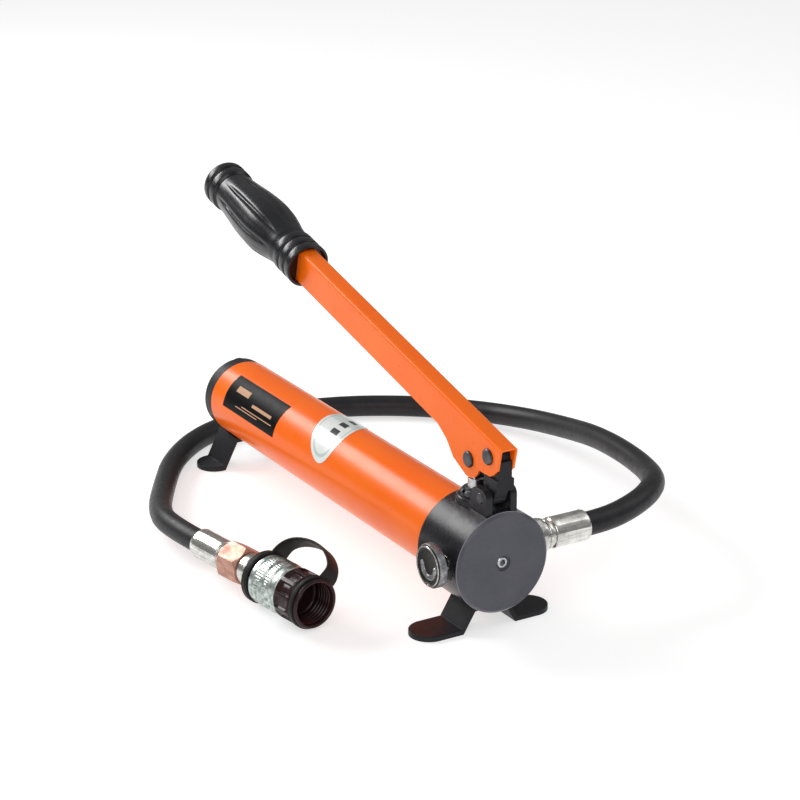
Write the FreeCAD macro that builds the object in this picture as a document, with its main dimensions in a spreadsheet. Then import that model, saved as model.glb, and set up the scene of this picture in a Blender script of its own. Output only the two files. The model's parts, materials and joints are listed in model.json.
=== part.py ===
import FreeCAD, Part
import math
import os
import Sketcher
from FreeCAD import Placement, Rotation, Vector

# Hydraulic hand pump: a lever-driven plunger pump in a round head, an oil reservoir tube behind it,
# two bent feet, a release valve with a hand knob, and a hose that ends in a capped quick coupler.
#
# Frame: +X points from the reservoir to the front face of the head, +Y to the hose port, +Z up.
# The floor is z = 0, the reservoir axis lies in the plane y = 0, and x = 0 is half way along.
# All lengths are in millimetres.

DIMENSIONS = {
    # head and its axis
    "axis_height": 50.0,
    "front_face": 185.3,
    "head_length": 47.0,
    "head_radius": 33.5,
    "head_chamfer": 1.9,
    # reservoir
    "tube_radius": 26.9,
    "tube_wall": 2.5,
    "tube_length": 299.0,
    "spigot_length": 8.0,
    "spigot_clearance": 0.1,
    "seal_cord": 2.1,
    "cap_radius": 26.4,
    "cap_thickness": 15.0,
    "filler_rise": 14.5,
    "filler_side": 6.8,
    "tie_rod_radius": 4.0,
    # feet
    "foot_thickness": 3.5,
    "foot_half_width": 13.0,
    "front_foot_reach": 50.0,
    "rear_foot_reach": 36.0,
    "front_foot_back": 27.5,
    "rear_foot_place": -164.7,
    "rear_screw_back": 3.5,
    "foot_crown_half": 12.0,
    "front_foot_bend": 20.5,
    "rear_foot_bend": 22.0,
    "foot_land": 17.5,
    # plunger and its gland
    "plunger_back": 31.0,
    "plunger_radius": 6.0,
    "plunger_low": 60.0,
    "boss_radius": 13.5,
    "boss_top": 86.5,
    "bore_floor": 46.0,
    "gland_radius": 9.0,
    "gland_seat": 75.5,
    # linkage
    "handle_angle": 13.5,
    "pin_radius": 4.0,
    "pin_play": 0.05,
    "plunger_pin_height": 110.0,
    "fulcrum_back": 9.0,
    "fulcrum_height": 119.0,
    "link_back": 10.5,
    "link_height": 92.0,
    "link_width": 9.3,
    "lug_thickness": 4.6,
    "lug_gap": 0.35,
    "suction_drop": 17.0,
    # handle and grip
    "lever_width": 12.6,
    "lever_wall": 1.5,
    "lever_top": 11.4,
    "lever_low": -11.2,
    "lever_length": 352.0,
    "grip_start": 244.0,
    "grip_length": 130.8,
    "grip_waist": 15.6,
    "grip_bulge": 19.6,
    # valves
    "port_back": 25.0,
    "port_face": 32.5,
    "knob_back": 16.0,
    "knob_height": 52.0,
    "knob_face": 45.5,
    "knob_radius": 14.2,
    "knob_depth": 6.5,
    # hose and coupler
    "hose_radius": 8.0,
    "ferrule_radius": 10.4,
    "coupler_height": 18.4,
    "coupler_turn": 8.2,
    "sleeve_radius": 17.0,
    "cap_grip_radius": 17.0,
    # labels: turn is the middle's angle from +Z towards -Y
    "maker_label_back": 327.3,
    "maker_label_length": 74.5,
    "maker_label_turn": 52.3,
    "maker_label_spread": 55.0,
    "rating_label_back": 220.5,
    "rating_label_length": 42.0,
    "rating_label_turn": 10.7,
    "rating_label_spread": 127.6,
}

ALONG = {
    "+x": Rotation(),
    "-x": Rotation(Vector(0, 0, 1), 180),
    "+y": Rotation(Vector(0, 0, 1), 90),
    "-y": Rotation(Vector(0, 0, 1), -90),
    "+z": Rotation(Vector(0, 1, 0), -90),
    "-z": Rotation(Vector(0, 1, 0), 90),
}
Z_TO_X = Rotation(Vector(0, 1, 0), 90)

# The hose's far end on the floor, measured from the front face of the head, and its last straight run.
HOSE_END_X = -190.0
HOSE_END_Y = -114.0
LAST_RUN = 38.0


class Size:
    """A length that remembers the spreadsheet expression it comes from."""

    def __init__(self, value, text):
        self.value = float(value)
        self.text = text

    def _join(self, other, sign, value):
        return Size(value, f"({self.text} {sign} {other.text})")

    def __add__(self, other):
        other = as_size(other)
        return self._join(other, "+", self.value + other.value)

    def __sub__(self, other):
        other = as_size(other)
        return self._join(other, "-", self.value - other.value)

    def __mul__(self, other):
        other = as_size(other)
        return self._join(other, "*", self.value * other.value)

    def __truediv__(self, other):
        other = as_size(other)
        return self._join(other, "/", self.value / other.value)

    def __radd__(self, other):
        return as_size(other) + self

    def __rsub__(self, other):
        return as_size(other) - self

    def __rmul__(self, other):
        return as_size(other) * self

    def __neg__(self):
        return Size(-self.value, f"(0 - {self.text})")


def as_size(number):
    return number if isinstance(number, Size) else Size(number, f"({float(number):.6f})")


def size(name):
    """The spreadsheet cell with this alias."""
    return Size(sheet.get(name), f"Sizes.{name}")


def number(value):
    return as_size(value).value


def set_size(obj, prop, value):
    """Give obj.prop a value, bound to the sheet when it comes from there."""
    setattr(obj, prop, number(value))
    if isinstance(value, Size):
        obj.setExpression(prop, value.text)


def place(obj, at, rotation=None):
    obj.Placement = Placement(Vector(*[number(value) for value in at]), rotation or Rotation())
    for axis, value in zip("xyz", at):
        if isinstance(value, Size):
            obj.setExpression(f"Placement.Base.{axis}", value.text)
    return obj


# --- primitives --------------------------------------------------------------------------------

def cylinder(name, radius, length, start, along):
    """A round bar from start towards along."""
    obj = doc.addObject("Part::Cylinder", name)
    set_size(obj, "Radius", radius)
    set_size(obj, "Height", length)
    return place(obj, start, ALONG[along].multiply(Z_TO_X))


def cone(name, radius_start, radius_end, length, start, along):
    obj = doc.addObject("Part::Cone", name)
    set_size(obj, "Radius1", radius_start)
    set_size(obj, "Radius2", radius_end)
    set_size(obj, "Height", length)
    return place(obj, start, ALONG[along].multiply(Z_TO_X))


def box(name, lengths, corner):
    obj = doc.addObject("Part::Box", name)
    for prop, value in zip(("Length", "Width", "Height"), lengths):
        set_size(obj, prop, value)
    return place(obj, corner)


def ball(name, radius, centre):
    obj = doc.addObject("Part::Sphere", name)
    set_size(obj, "Radius", radius)
    return place(obj, centre)


def ring(name, mean_radius, cord_radius, centre, along):
    """A round-section seal ring."""
    obj = doc.addObject("Part::Torus", name)
    set_size(obj, "Radius1", mean_radius)
    set_size(obj, "Radius2", cord_radius)
    return place(obj, centre, ALONG[along].multiply(Z_TO_X))


def hexagon(name, across_flats, length, start, along):
    obj = doc.addObject("Part::Prism", name)
    obj.Polygon = 6
    set_size(obj, "Circumradius", across_flats / math.sqrt(3))
    set_size(obj, "Height", length)
    return place(obj, start, ALONG[along].multiply(Z_TO_X))


def fuse(name, pieces):
    obj = doc.addObject("Part::MultiFuse", name)
    obj.Shapes = pieces
    obj.Refine = True
    return obj


def cut(name, base, tools):
    """Take the tools away from base one after another."""
    for index, tool in enumerate(tools, start=1):
        obj = doc.addObject("Part::Cut", name if index == len(tools) else f"{name}_cut_{index}")
        obj.Base = base
        obj.Tool = tool
        obj.Refine = True
        base = obj
    return base


def common(name, first, second):
    obj = doc.addObject("Part::MultiCommon", name)
    obj.Shapes = [first, second]
    return obj


# --- sketched bodies ---------------------------------------------------------------------------

def origin_plane(body, role):
    for feature in body.Origin.OriginFeatures:
        if feature.Role == role:
            return feature
    raise ValueError(f"{body.Name} has no {role}")


def bind_corner(sketch, line, corner):
    """Hold the first end of a line at the corner's two coordinates."""
    for kind, axis_line, value in (("DistanceX", -2, corner[0]), ("DistanceY", -1, corner[1])):
        if abs(number(value)) < 1e-9:
            sketch.addConstraint(Sketcher.Constraint("PointOnObject", line, 1, axis_line))
            continue
        index = sketch.addConstraint(Sketcher.Constraint(kind, -1, 1, line, 1, number(value)))
        if isinstance(value, Size):
            sketch.setExpression(f"Constraints[{index}]", value.text)


def outline_sketch(body, name, corners, role="XY_Plane"):
    """A closed chain of straight lines through the corners."""
    sketch = body.newObject("Sketcher::SketchObject", name)
    sketch.AttachmentSupport = [(origin_plane(body, role), "")]
    sketch.MapMode = "FlatFace"
    points = [Vector(number(x), number(y), 0) for x, y in corners]
    count = len(points)
    for index in range(count):
        sketch.addGeometry(Part.LineSegment(points[index], points[(index + 1) % count]), False)
    for index in range(count):
        sketch.addConstraint(Sketcher.Constraint("Coincident", index, 2, (index + 1) % count, 1))
    for index, corner in enumerate(corners):
        bind_corner(sketch, index, corner)
    return sketch


def turned(name, profile, start=(0, 0, 0), rotation=None):
    """A lathe part: profile corners are (distance along the axis, radius), turned about local X."""
    body = doc.addObject("PartDesign::Body", name)
    sketch = outline_sketch(body, name + "_profile", profile)
    turn = body.newObject("PartDesign::Revolution", name + "_turn")
    turn.Profile = sketch
    turn.ReferenceAxis = (sketch, ["H_Axis"])
    turn.Angle = 360
    sketch.Visibility = False
    return place(body, start, rotation)


def plate(name, corners, thickness, start=(0, 0, 0), rotation=None, role="XZ_Plane"):
    """A flat-sided part: an outline padded equally to both sides of its plane."""
    body = doc.addObject("PartDesign::Body", name)
    sketch = outline_sketch(body, name + "_outline", corners, role)
    pad = body.newObject("PartDesign::Pad", name + "_pad")
    pad.Profile = sketch
    set_size(pad, "Length", thickness)
    pad.Midplane = True
    return place(body, start, rotation)


def round_edges(name, base, radius, wanted):
    """Round the edges of base for which wanted(edge) holds."""
    doc.recompute()
    obj = doc.addObject("Part::Fillet", name)
    obj.Base = base
    chosen = [index + 1 for index, edge in enumerate(base.Shape.Edges) if wanted(edge)]
    obj.Edges = [(index, radius, radius) for index in chosen]
    return obj


def edge_middle(edge):
    return edge.valueAt((edge.FirstParameter + edge.LastParameter) / 2)


def solid_feature(name, shape):
    obj = doc.addObject("Part::Feature", name)
    obj.Shape = shape
    return obj


def coil_spring(name, mean_radius, wire_radius, length, turns, start, rotation):
    """A cylindrical spring with its wire centres length apart, standing on start."""
    pitch = length / turns
    helix = Part.makeHelix(pitch, length, mean_radius)
    section = Part.Wire(Part.makeCircle(wire_radius, Vector(mean_radius, 0, 0), Vector(0, 1, 0)))
    obj = solid_feature(name, Part.Wire(helix).makePipeShell([section], True, True))
    obj.Placement = Placement(Vector(*[number(value) for value in start]), rotation.multiply(Z_TO_X))
    return obj


# --- pump head and its valves ------------------------------------------------------------------

def make_head():
    face = size("front_face")
    rear = face - size("head_length")
    spigot_end = rear - size("spigot_length")
    spigot = size("tube_radius") - size("tube_wall") - size("spigot_clearance")
    groove = spigot - size("seal_cord") + size("spigot_clearance")
    drum = turned("head_drum", [
        (spigot_end, 0), (spigot_end, spigot), (spigot_end + 2.4, spigot), (spigot_end + 2.4, groove),
        (spigot_end + 5.6, groove), (spigot_end + 5.6, spigot), (rear, spigot), (rear, size("head_radius")),
        (face - size("head_chamfer"), size("head_radius")),
        (face, size("head_radius") - size("head_chamfer")), (face, 0),
    ], (0, 0, size("axis_height")))
    plunger_x = face - size("plunger_back")
    boss = cylinder("gland_boss", size("boss_radius"), size("boss_top") - size("axis_height"),
                    (plunger_x, 0, size("axis_height")), "+z")
    boss = round_edges("gland_boss_rounded", boss, 2.5,
                       lambda edge: edge.Closed and edge.CenterOfMass.z > number(size("boss_top")) - 1)
    lugs = [make_lug("near_lug", -1), make_lug("far_lug", 1)]
    blank = fuse("head_blank", [drum, boss] + lugs)
    return cut("pump_head", blank, head_bores(plunger_x) + head_flats())


def make_lug(name, side):
    """One ear of the clevis that holds the lower end of the swing link."""
    thickness = size("lug_thickness")
    inner = size("lever_width") / 2 + size("lug_gap")
    rear = size("front_face") - size("link_back") - 9.5
    low = inner if side > 0 else -(inner + thickness)
    root = 60.0
    height = size("link_height") + 6 - root
    block = box(name + "_block", (17.0, thickness, height), (rear, low, root))
    top = root + number(height)
    ear = round_edges(name + "_ear", block, 5.0, lambda edge: edge_middle(edge).z > top - 0.1
                      and abs(edge.tangentAt(edge.FirstParameter).y) > 0.9)
    boss_middle = size("front_face") - size("plunger_back")
    shoulder = size("boss_top") - 0.5
    cheek = plate(name + "_cheek", [
        (boss_middle, root), (boss_middle, shoulder), (rear - 2.4, shoulder), (rear + 0.5, shoulder + 6),
        (rear + 0.5, root),
    ], thickness, (0, low + thickness / 2, 0), None, "XZ_Plane")
    return fuse(name, [ear, cheek])


def head_bores(plunger_x):
    face = size("front_face")
    axis = size("axis_height")
    port_x = face - size("port_back")
    knob = (face - size("knob_back"), size("knob_height"))
    passage_z = axis - size("suction_drop")
    back = face - size("head_length") - size("spigot_length")
    bores = [
        cylinder("plunger_bore", size("plunger_radius") + 0.05, 60, (plunger_x, 0, size("bore_floor")), "+z"),
        cylinder("gland_bore", size("gland_radius"), 30, (plunger_x, 0, size("gland_seat")), "+z"),
        cylinder("inlet_chamber", 4.6, 7.5, (plunger_x, 0, axis - 11), "+z"),
        cone("inlet_seat", 2.0, 4.6, 2.6, (plunger_x, 0, axis - 13.6), "+z"),
        cylinder("inlet_riser", 2.0, 6, (plunger_x, 0, passage_z), "+z"),
        cylinder("inlet_passage", 2.5, size("head_length") + size("spigot_length") - 29,
                 (back, 0, passage_z), "+x"),
        cylinder("suction_socket", 3.0, 6, (back, 0, passage_z), "+x"),
        cylinder("port_thread", 6.0, 20, (port_x, 22, axis), "+y"),
        cylinder("outlet_chamber", 4.0, 9.5, (port_x, 13, axis), "+y"),
        cone("outlet_seat", 1.75, 4.0, 2.25, (port_x, 10.75, axis), "+y"),
        cylinder("outlet_passage", 1.75, 12, (port_x, -1, axis), "+y"),
        cylinder("relief_thread", 4.0, 20, (face - 14, 0, axis), "+x"),
        cylinder("relief_mouth", 5.2, 3, (face - 1.2, 0, axis), "+x"),
        cylinder("relief_chamber", 3.2, 6, (face - 19, 0, axis), "+x"),
        cone("relief_seat", 1.2, 3.2, 2.0, (face - 21, 0, axis), "+x"),
        cylinder("relief_passage", 1.2, 6, (face - 26, 0, axis), "+x"),
        cylinder("release_thread", 5.0, 30, (knob[0], -14, knob[1]), "-y"),
        cylinder("release_passage", 1.5, 13, (knob[0], -2, knob[1]), "-y"),
        cylinder("return_passage", 2.0, 39, (face - 55, -17, knob[1]), "+x"),
        cylinder("tie_rod_hole", size("tie_rod_radius"), 13.5, (face - 55.5, 0, axis), "+x"),
        cylinder("front_foot_hole", 3.0, 9,
                 (face - size("front_foot_back"), 0, size("foot_land") - 0.5), "+z"),
        cylinder("link_pin_hole", size("pin_radius") - 0.5, 40,
                 (face - size("link_back"), -20, size("link_height")), "+y"),
    ]
    return bores


def head_flats():
    """Machined flats for the front foot, the hose port and the release knob."""
    face = size("front_face")
    half = size("foot_half_width") + 0.5
    return [
        box("foot_flat", (2 * half, 40, 10),
            (face - size("front_foot_back") - half, -20, size("foot_land") - 10)),
        cylinder("port_flat", 12.5, 10,
                 (face - size("port_back"), size("port_face"), size("axis_height")), "+y"),
        cylinder("knob_flat", 12.0, 10,
                 (face - size("knob_back"), -size("port_face"), size("knob_height")), "-y"),
    ]


def make_gland():
    """The nut, seal and wiper that close the top of the plunger bore."""
    at = (size("front_face") - size("plunger_back"), 0, 0)
    seat = size("gland_seat")
    top = size("boss_top")
    slide = size("plunger_radius") + 0.06
    nut = turned("gland_nut_blank", [
        (seat + 4.4, slide), (seat + 4.4, size("gland_radius")), (top, size("gland_radius")), (top, 10.5),
        (top + 2.2, 10.5), (top + 3.4, 9.3), (top + 3.4, 7.9), (top + 1.0, 7.9), (top + 1.0, slide),
    ], at, ALONG["+z"])
    slots = [box("gland_slot_left", (3.0, 8, 6), (at[0] - 1.5, 8.6, top + 1.4)),
             box("gland_slot_right", (3.0, 8, 6), (at[0] - 1.5, -16.6, top + 1.4))]
    nut = cut("gland_nut", nut, slots)
    seal = turned("plunger_seal", [
        (seat, 6.02), (seat, 9.0), (seat + 4.4, 9.0), (seat + 4.4, 8.1), (seat + 2.6, 7.5),
        (seat + 4.4, 6.9),
        (seat + 4.4, 6.02),
    ], at, ALONG["+z"])
    wiper = turned("plunger_wiper", [
        (top + 1.0, 6.03), (top + 1.0, 7.9), (top + 3.4, 7.9), (top + 4.2, 6.6), (top + 4.2, 6.03),
    ], at, ALONG["+z"])
    return [nut, seal, wiper]


def make_inlet_valve():
    plunger_x = size("front_face") - size("plunger_back")
    axis = size("axis_height")
    inlet_ball = ball("inlet_ball", 3.5, (plunger_x, 0, axis - 10.6))
    clip = turned("inlet_ball_clip", [(0, 2.2), (0, 4.6), (1.4, 4.6), (1.4, 2.2)],
                  (plunger_x, 0, axis - 5.6), ALONG["+z"])
    return [inlet_ball, clip]


def make_outlet_valve():
    at = (size("front_face") - size("port_back"), 13.3, size("axis_height"))
    check = ball("outlet_ball", 3.0, at)
    spring = coil_spring("outlet_spring", 2.3, 0.4, 4.6, 4, (at[0], 16.3, at[2]), ALONG["+y"])
    return [check, spring]


def make_relief_valve():
    face = size("front_face")
    axis = size("axis_height")
    check = ball("relief_ball", 2.5, (face - 18.6, 0, axis))
    spring = coil_spring("relief_spring", 2.3, 0.4, 4.6, 4, (face - 15.7, 0, axis), ALONG["+x"])
    blank = turned("relief_screw_blank", [(0, 0), (0, 3.2), (0.8, 4.0), (9.0, 4.0), (9.7, 3.3), (9.7, 0)],
                   (face - 10.7, 0, axis))
    socket = hexagon("relief_socket", 4.0, 6, (face - 5.0, 0, axis), "+x")
    return [check, spring, cut("relief_screw", blank, [socket])]


def make_release_valve():
    """The hand knob on its spindle, whose cone tip closes the return passage."""
    at = (size("front_face") - size("knob_back"), 0, size("knob_height"))
    face = size("knob_face")
    outer = size("knob_radius")
    back = face - size("knob_depth")
    knob = turned("release_knob_blank", [
        (back - 4, 3.5), (back - 4, 7.5), (back - 0.8, 7.5), (back - 0.8, outer - 1.4), (back + 0.2, outer),
        (face - 1.0, outer), (face, outer - 1.0), (face, outer - 2.4), (face - 1.4, outer - 3.0),
        (face - 1.4, 0), (face - 3.6, 0), (face - 3.6, 3.5),
    ], at, ALONG["-y"])
    spindle = turned("release_spindle", [
        (11.95, 0), (15.55, 2.6), (15.55, 3.4), (17.5, 4.94), (27.0, 4.94), (27.0, 3.7), (29.0, 3.7),
        (29.0, 4.94), (31.5, 4.94), (32.0, 3.5), (face - 3.6, 3.5), (face - 3.6, 0),
    ], at, ALONG["-y"])
    seal = ring("release_seal", 4.33, 0.62, (at[0], -28.0, at[2]), "-y")
    return [add_knob_rib(knob, at, face), spindle, seal]


def add_knob_rib(knob, at, face):
    """A raised half-round finger rib in the lower half of the knob's dished face."""
    rib = ring("knob_rib_ring", 6.6, 1.3, (at[0], -(face - 1.4), at[2]), "-y")
    lower = box("knob_rib_half", (16, 4, 8), (at[0] - 8, -face, at[2] - 8))
    return fuse("release_knob", [knob, common("knob_rib", rib, lower)])


# --- reservoir ---------------------------------------------------------------------------------

def make_reservoir():
    rear = size("front_face") - size("head_length")
    start = rear - size("tube_length")
    axis = size("axis_height")
    outer = size("tube_radius")
    inner = outer - size("tube_wall")
    tube = turned("reservoir_tube", [
        (start, inner), (start, outer - 0.4), (start + 0.4, outer), (rear - 0.4, outer),
        (rear, outer - 0.4), (rear, inner),
    ], (0, 0, axis))
    seal_radius = size("seal_cord") / 2
    seals = [
        ring("front_tube_seal", inner - seal_radius, seal_radius, (rear - 4, 0, axis), "+x"),
        ring("rear_tube_seal", inner - seal_radius, seal_radius, (start + 4, 0, axis), "+x"),
    ]
    return [tube] + seals + make_rear_cap(start, axis, inner) + make_tie_rod(start, axis) \
        + make_suction(rear, axis)


def make_rear_cap(start, axis, inner):
    spigot = inner - size("spigot_clearance")
    groove = inner - size("seal_cord")
    radius = size("cap_radius")
    back = start - size("cap_thickness")
    side = size("filler_side")
    rise = axis + size("filler_rise")
    blank = turned("rear_cap_blank", [
        (back, 0), (back, radius - 6), (back + 2, radius - 2.2), (back + 5, radius), (start, radius),
        (start, spigot), (start + 2.4, spigot), (start + 2.4, groove), (start + 5.6, groove),
        (start + 5.6, spigot), (start + 8, spigot), (start + 8, 0),
    ], (0, 0, axis))
    land = box("rear_foot_land", (13, 16, 14), (back + 2, -8, axis - size("tube_radius")))
    holes = [
        cylinder("rear_rod_hole", size("tie_rod_radius"), 30, (back - 1, 0, axis), "+x"),
        cylinder("filler_hole", 5.0, 30, (back - 1, side, rise), "+x"),
        cylinder("rear_foot_hole", 3.0, 10,
                 (size("rear_foot_place") - size("rear_screw_back"), 0,
                  axis - size("tube_radius") - 1), "+z"),
    ]
    cap = cut("rear_cap", fuse("rear_cap_body", [blank, land]), holes)
    plug = turned("filler_plug", [
        (-9, 0), (-9, 4.95), (0, 4.95), (0, 7.2), (1.0, 7.8), (5.0, 7.8), (6.0, 6.8), (6.0, 0),
    ], (back - 1.6, side, rise), ALONG["-x"])
    seal = ring("filler_seal", 5.9, 0.8, (back - 0.8, side, rise), "+x")
    return [cap, plug, seal]


def make_tie_rod(start, axis):
    back = start - size("cap_thickness")
    rod_end = size("front_face") - 42.2
    rod = cylinder("tie_rod", size("tie_rod_radius"), rod_end - back + 7, (back - 7, 0, axis), "+x")
    washer = turned("tie_rod_washer", [(0, 4.1), (0, 7.4), (1.4, 7.4), (1.4, 4.1)],
                    (back, 0, axis), ALONG["-x"])
    nut = cut("tie_rod_nut", fuse("tie_rod_nut_body", [
        hexagon("tie_rod_nut_hex", 13, 5.6, (back - 1.4, 0, axis), "-x"),
        ball("tie_rod_nut_dome", 5.6, (back - 7.0, 0, axis)),
    ]), [cylinder("tie_rod_nut_bore", size("tie_rod_radius"), 8, (back + 1, 0, axis), "-x")])
    return [rod, washer, nut]


def make_suction(rear, axis):
    """The pick-up pipe and strainer that feed oil from the reservoir floor."""
    end = rear - size("spigot_length")
    height = axis - size("suction_drop")
    pipe = turned("suction_pipe", [(-34, 2.0), (-34, 3.0), (6, 3.0), (6, 2.0)], (end, 0, height))
    strainer = turned("suction_strainer", [
        (-52, 0), (-52, 5.0), (-51, 6.0), (-32, 6.0), (-31, 5.0), (-31, 3.0), (-34, 3.0), (-34, 4.8),
        (-50, 4.8), (-50, 0),
    ], (end, 0, height))
    return [pipe, strainer]


# --- feet --------------------------------------------------------------------------------------

def make_foot(name, centre_x, crown_top, bend, reach, screw_x):
    """A bent plate: a raised crown under the pump and two round-ended ears on the floor."""
    thick = size("foot_thickness")
    crown = size("foot_crown_half")
    half = size("foot_half_width")
    side = [(reach, 0), (reach, thick), (bend, thick), (crown, crown_top), (-crown, crown_top),
            (-bend, thick), (-reach, thick), (-reach, 0), (1.2 - bend, 0), (1.2 - crown, crown_top - thick),
            (crown - 1.2, crown_top - thick), (bend - 1.2, 0)]
    bent = plate(name + "_bent", side, 2 * half, (centre_x, 0, 0), None, "YZ_Plane")
    plan = fuse(name + "_plan", [
        cylinder(name + "_left_end", half, 40, (centre_x, half - reach, -1), "+z"),
        cylinder(name + "_right_end", half, 40, (centre_x, reach - half, -1), "+z"),
        box(name + "_middle", (2 * half, 2 * (reach - half), 40), (centre_x - half, half - reach, -1)),
    ])
    hole = cylinder(name + "_hole", 3.2, 30, (screw_x, 0, 0), "+z")
    blank = cut(name + "_drilled", common(name + "_blank", bent, plan), [hole])
    return round_edges(name, blank, 0.6, is_foot_rim)


def is_foot_rim(edge):
    """The upper round rim at the tip of each ear."""
    thick = number(size("foot_thickness"))
    extent = edge.BoundBox
    level = abs(extent.ZMin - thick) < 0.01 and abs(extent.ZMax - thick) < 0.01
    return level and edge.Curve.TypeId == "Part::GeomCircle"


def make_foot_screw(name, x, seat):
    """A button-head screw that goes up through the crown of a foot."""
    blank = turned(name + "_blank", [
        (-3.3, 0), (-3.3, 2.6), (-2.2, 4.8), (0, 5.25), (0, 3.0), (12, 3.0), (12, 0),
    ], (x, 0, seat), ALONG["+z"])
    socket = hexagon(name + "_socket", 4.0, 3, (x, 0, seat - 4.8), "+z")
    return cut(name, blank, [socket])


def make_feet():
    front_x = size("front_face") - size("front_foot_back")
    front_top = size("foot_land")
    rear_x = size("rear_foot_place")
    rear_screw_x = rear_x - size("rear_screw_back")
    rear_top = size("axis_height") - size("tube_radius")
    thick = size("foot_thickness")
    return [
        make_foot("front_foot", front_x, front_top,
                  size("front_foot_bend"), size("front_foot_reach"), front_x),
        make_foot("rear_foot", rear_x, rear_top,
                  size("rear_foot_bend"), size("rear_foot_reach"), rear_screw_x),
        make_foot_screw("front_foot_screw", front_x, front_top - thick),
        make_foot_screw("rear_foot_screw", rear_screw_x, rear_top - thick),
    ]


# --- lever, link and plunger -------------------------------------------------------------------

def lever_rotation():
    """Local x runs along the lever to the grip, local y is its upper side, local z is world +Y."""
    angle = math.radians(number(size("handle_angle")))
    along = Vector(-math.cos(angle), 0, math.sin(angle))
    above = Vector(math.sin(angle), 0, math.cos(angle))
    return Rotation(along, above, Vector(0, 1, 0), "XYZ")


def lever_place():
    return (size("front_face") - size("fulcrum_back"), 0, size("fulcrum_height"))


def plunger_pin_in_lever():
    """The plunger pin seen in the lever's own axes."""
    offset = Vector(number(size("fulcrum_back") - size("plunger_back")), 0,
                    number(size("plunger_pin_height") - size("fulcrum_height")))
    return lever_rotation().inverted().multVec(offset)


def bar_across(name, radius, length, centre, rotation, origin):
    """A round bar along world Y whose middle is at centre in the lever's axes."""
    obj = doc.addObject("Part::Cylinder", name)
    set_size(obj, "Radius", radius)
    set_size(obj, "Height", length)
    middle = rotation.multVec(Vector(centre[0], centre[1], 0))
    at = Vector(*[number(value) for value in origin]) + middle - Vector(0, number(length) / 2, 0)
    obj.Placement = Placement(at, ALONG["+y"].multiply(Z_TO_X))
    return obj


def make_lever():
    rotation = lever_rotation()
    origin = lever_place()
    width = size("lever_width")
    top = size("lever_top")
    low = size("lever_low")
    end = size("lever_length")
    pin = plunger_pin_in_lever()
    bar = plate("lever_bar", [
        (-11.5, top), (end, top), (end, low), (58, low), (46, low - 4.4), (36, low - 11.6), (pin.x, -26.2),
        (9.6, -15.2), (0, -13.0), (-11.5, -4.0),
    ], width, origin, rotation, "XY_Plane")
    bar = round_edges("lever_bar_rounded", bar, 2.6, is_lever_ridge)
    blank = fuse("lever_blank", [
        bar,
        bar_across("lever_front_lobe", 10.6, width, (0, -1.9), rotation, origin),
        bar_across("lever_rear_lobe", 12.0, width, (pin.x, pin.y), rotation, origin),
    ])
    hole = size("pin_radius") + 0.02
    hollow = width - 2 * size("lever_wall")
    channel = plate("lever_channel", [
        (-40, top - size("lever_wall")), (end + 5, top - size("lever_wall")), (end + 5, -60), (-40, -60),
    ], hollow, origin, rotation, "XY_Plane")
    return cut("handle_lever", blank, [
        channel,
        bar_across("fulcrum_hole", hole, 30, (0, 0), rotation, origin),
        bar_across("plunger_pin_hole", hole, 30, (pin.x, pin.y), rotation, origin),
    ])


def is_lever_ridge(edge):
    """The two long upper edges of the lever."""
    origin = Vector(*[number(value) for value in lever_place()])
    local = lever_rotation().inverted().multVec(edge_middle(edge) - origin)
    return abs(local.y - number(size("lever_top"))) < 0.01 and edge.Length > 100


def make_grip():
    """A moulded handle grip with ringed ends, a bulging middle and long flutes."""
    start = size("grip_start")
    end = start + size("grip_length")
    waist = size("grip_waist")
    bulge = size("grip_bulge")
    profile = [(start, 0)]
    for step in range(3):
        near = start + 1.0 + 8.0 * step
        profile += [(near, waist - 1.2), (near + 0.8, waist), (near + 6.0, waist),
                    (near + 6.8, waist - 1.2)]
    profile += [
        (start + 28, waist - 0.4), (start + 40, bulge - 2.0), (start + 52, bulge - 0.3),
        (start + 60, bulge), (start + 70, bulge - 0.4), (start + 84, bulge - 2.0), (start + 98, waist + 0.4),
        (start + 110, waist - 0.4), (start + 112, waist + 0.6), (start + 118.4, waist + 0.9),
        (start + 119.2, waist - 0.4),
        (start + 120.2, waist - 0.4), (start + 121, waist + 0.9), (end - 4, waist + 0.7),
        (end - 1.2, waist - 2.4), (end, waist - 8), (end, 0),
    ]
    origin = lever_place()
    blank = turned("grip_blank", profile, origin, lever_rotation())
    clear = 0.15
    socket = plate("grip_socket", [
        (start - 1, size("lever_top") + clear), (size("lever_length") + clear, size("lever_top") + clear),
        (size("lever_length") + clear, size("lever_low") - clear), (start - 1, size("lever_low") - clear),
    ], size("lever_width") + 2 * clear, origin, lever_rotation(), "XY_Plane")
    return cut("grip", blank, [socket])


def make_pin(name, at, half_length, head_radius, head_depth):
    """A headed pin across the lever, head on the near side, grooved at the far side for a clip."""
    radius = size("pin_radius")
    return turned(name, [
        (-half_length - head_depth, 0), (-half_length - head_depth, head_radius - 0.6),
        (-half_length - head_depth + 0.6, head_radius), (-half_length, head_radius), (-half_length, radius),
        (half_length + 0.4, radius), (half_length + 0.4, radius - 0.9), (half_length + 1.4, radius - 0.9),
        (half_length + 1.4, radius), (half_length + 2.6, radius), (half_length + 3.0, radius - 0.4),
        (half_length + 3.0, 0),
    ], at, ALONG["+y"])


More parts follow.
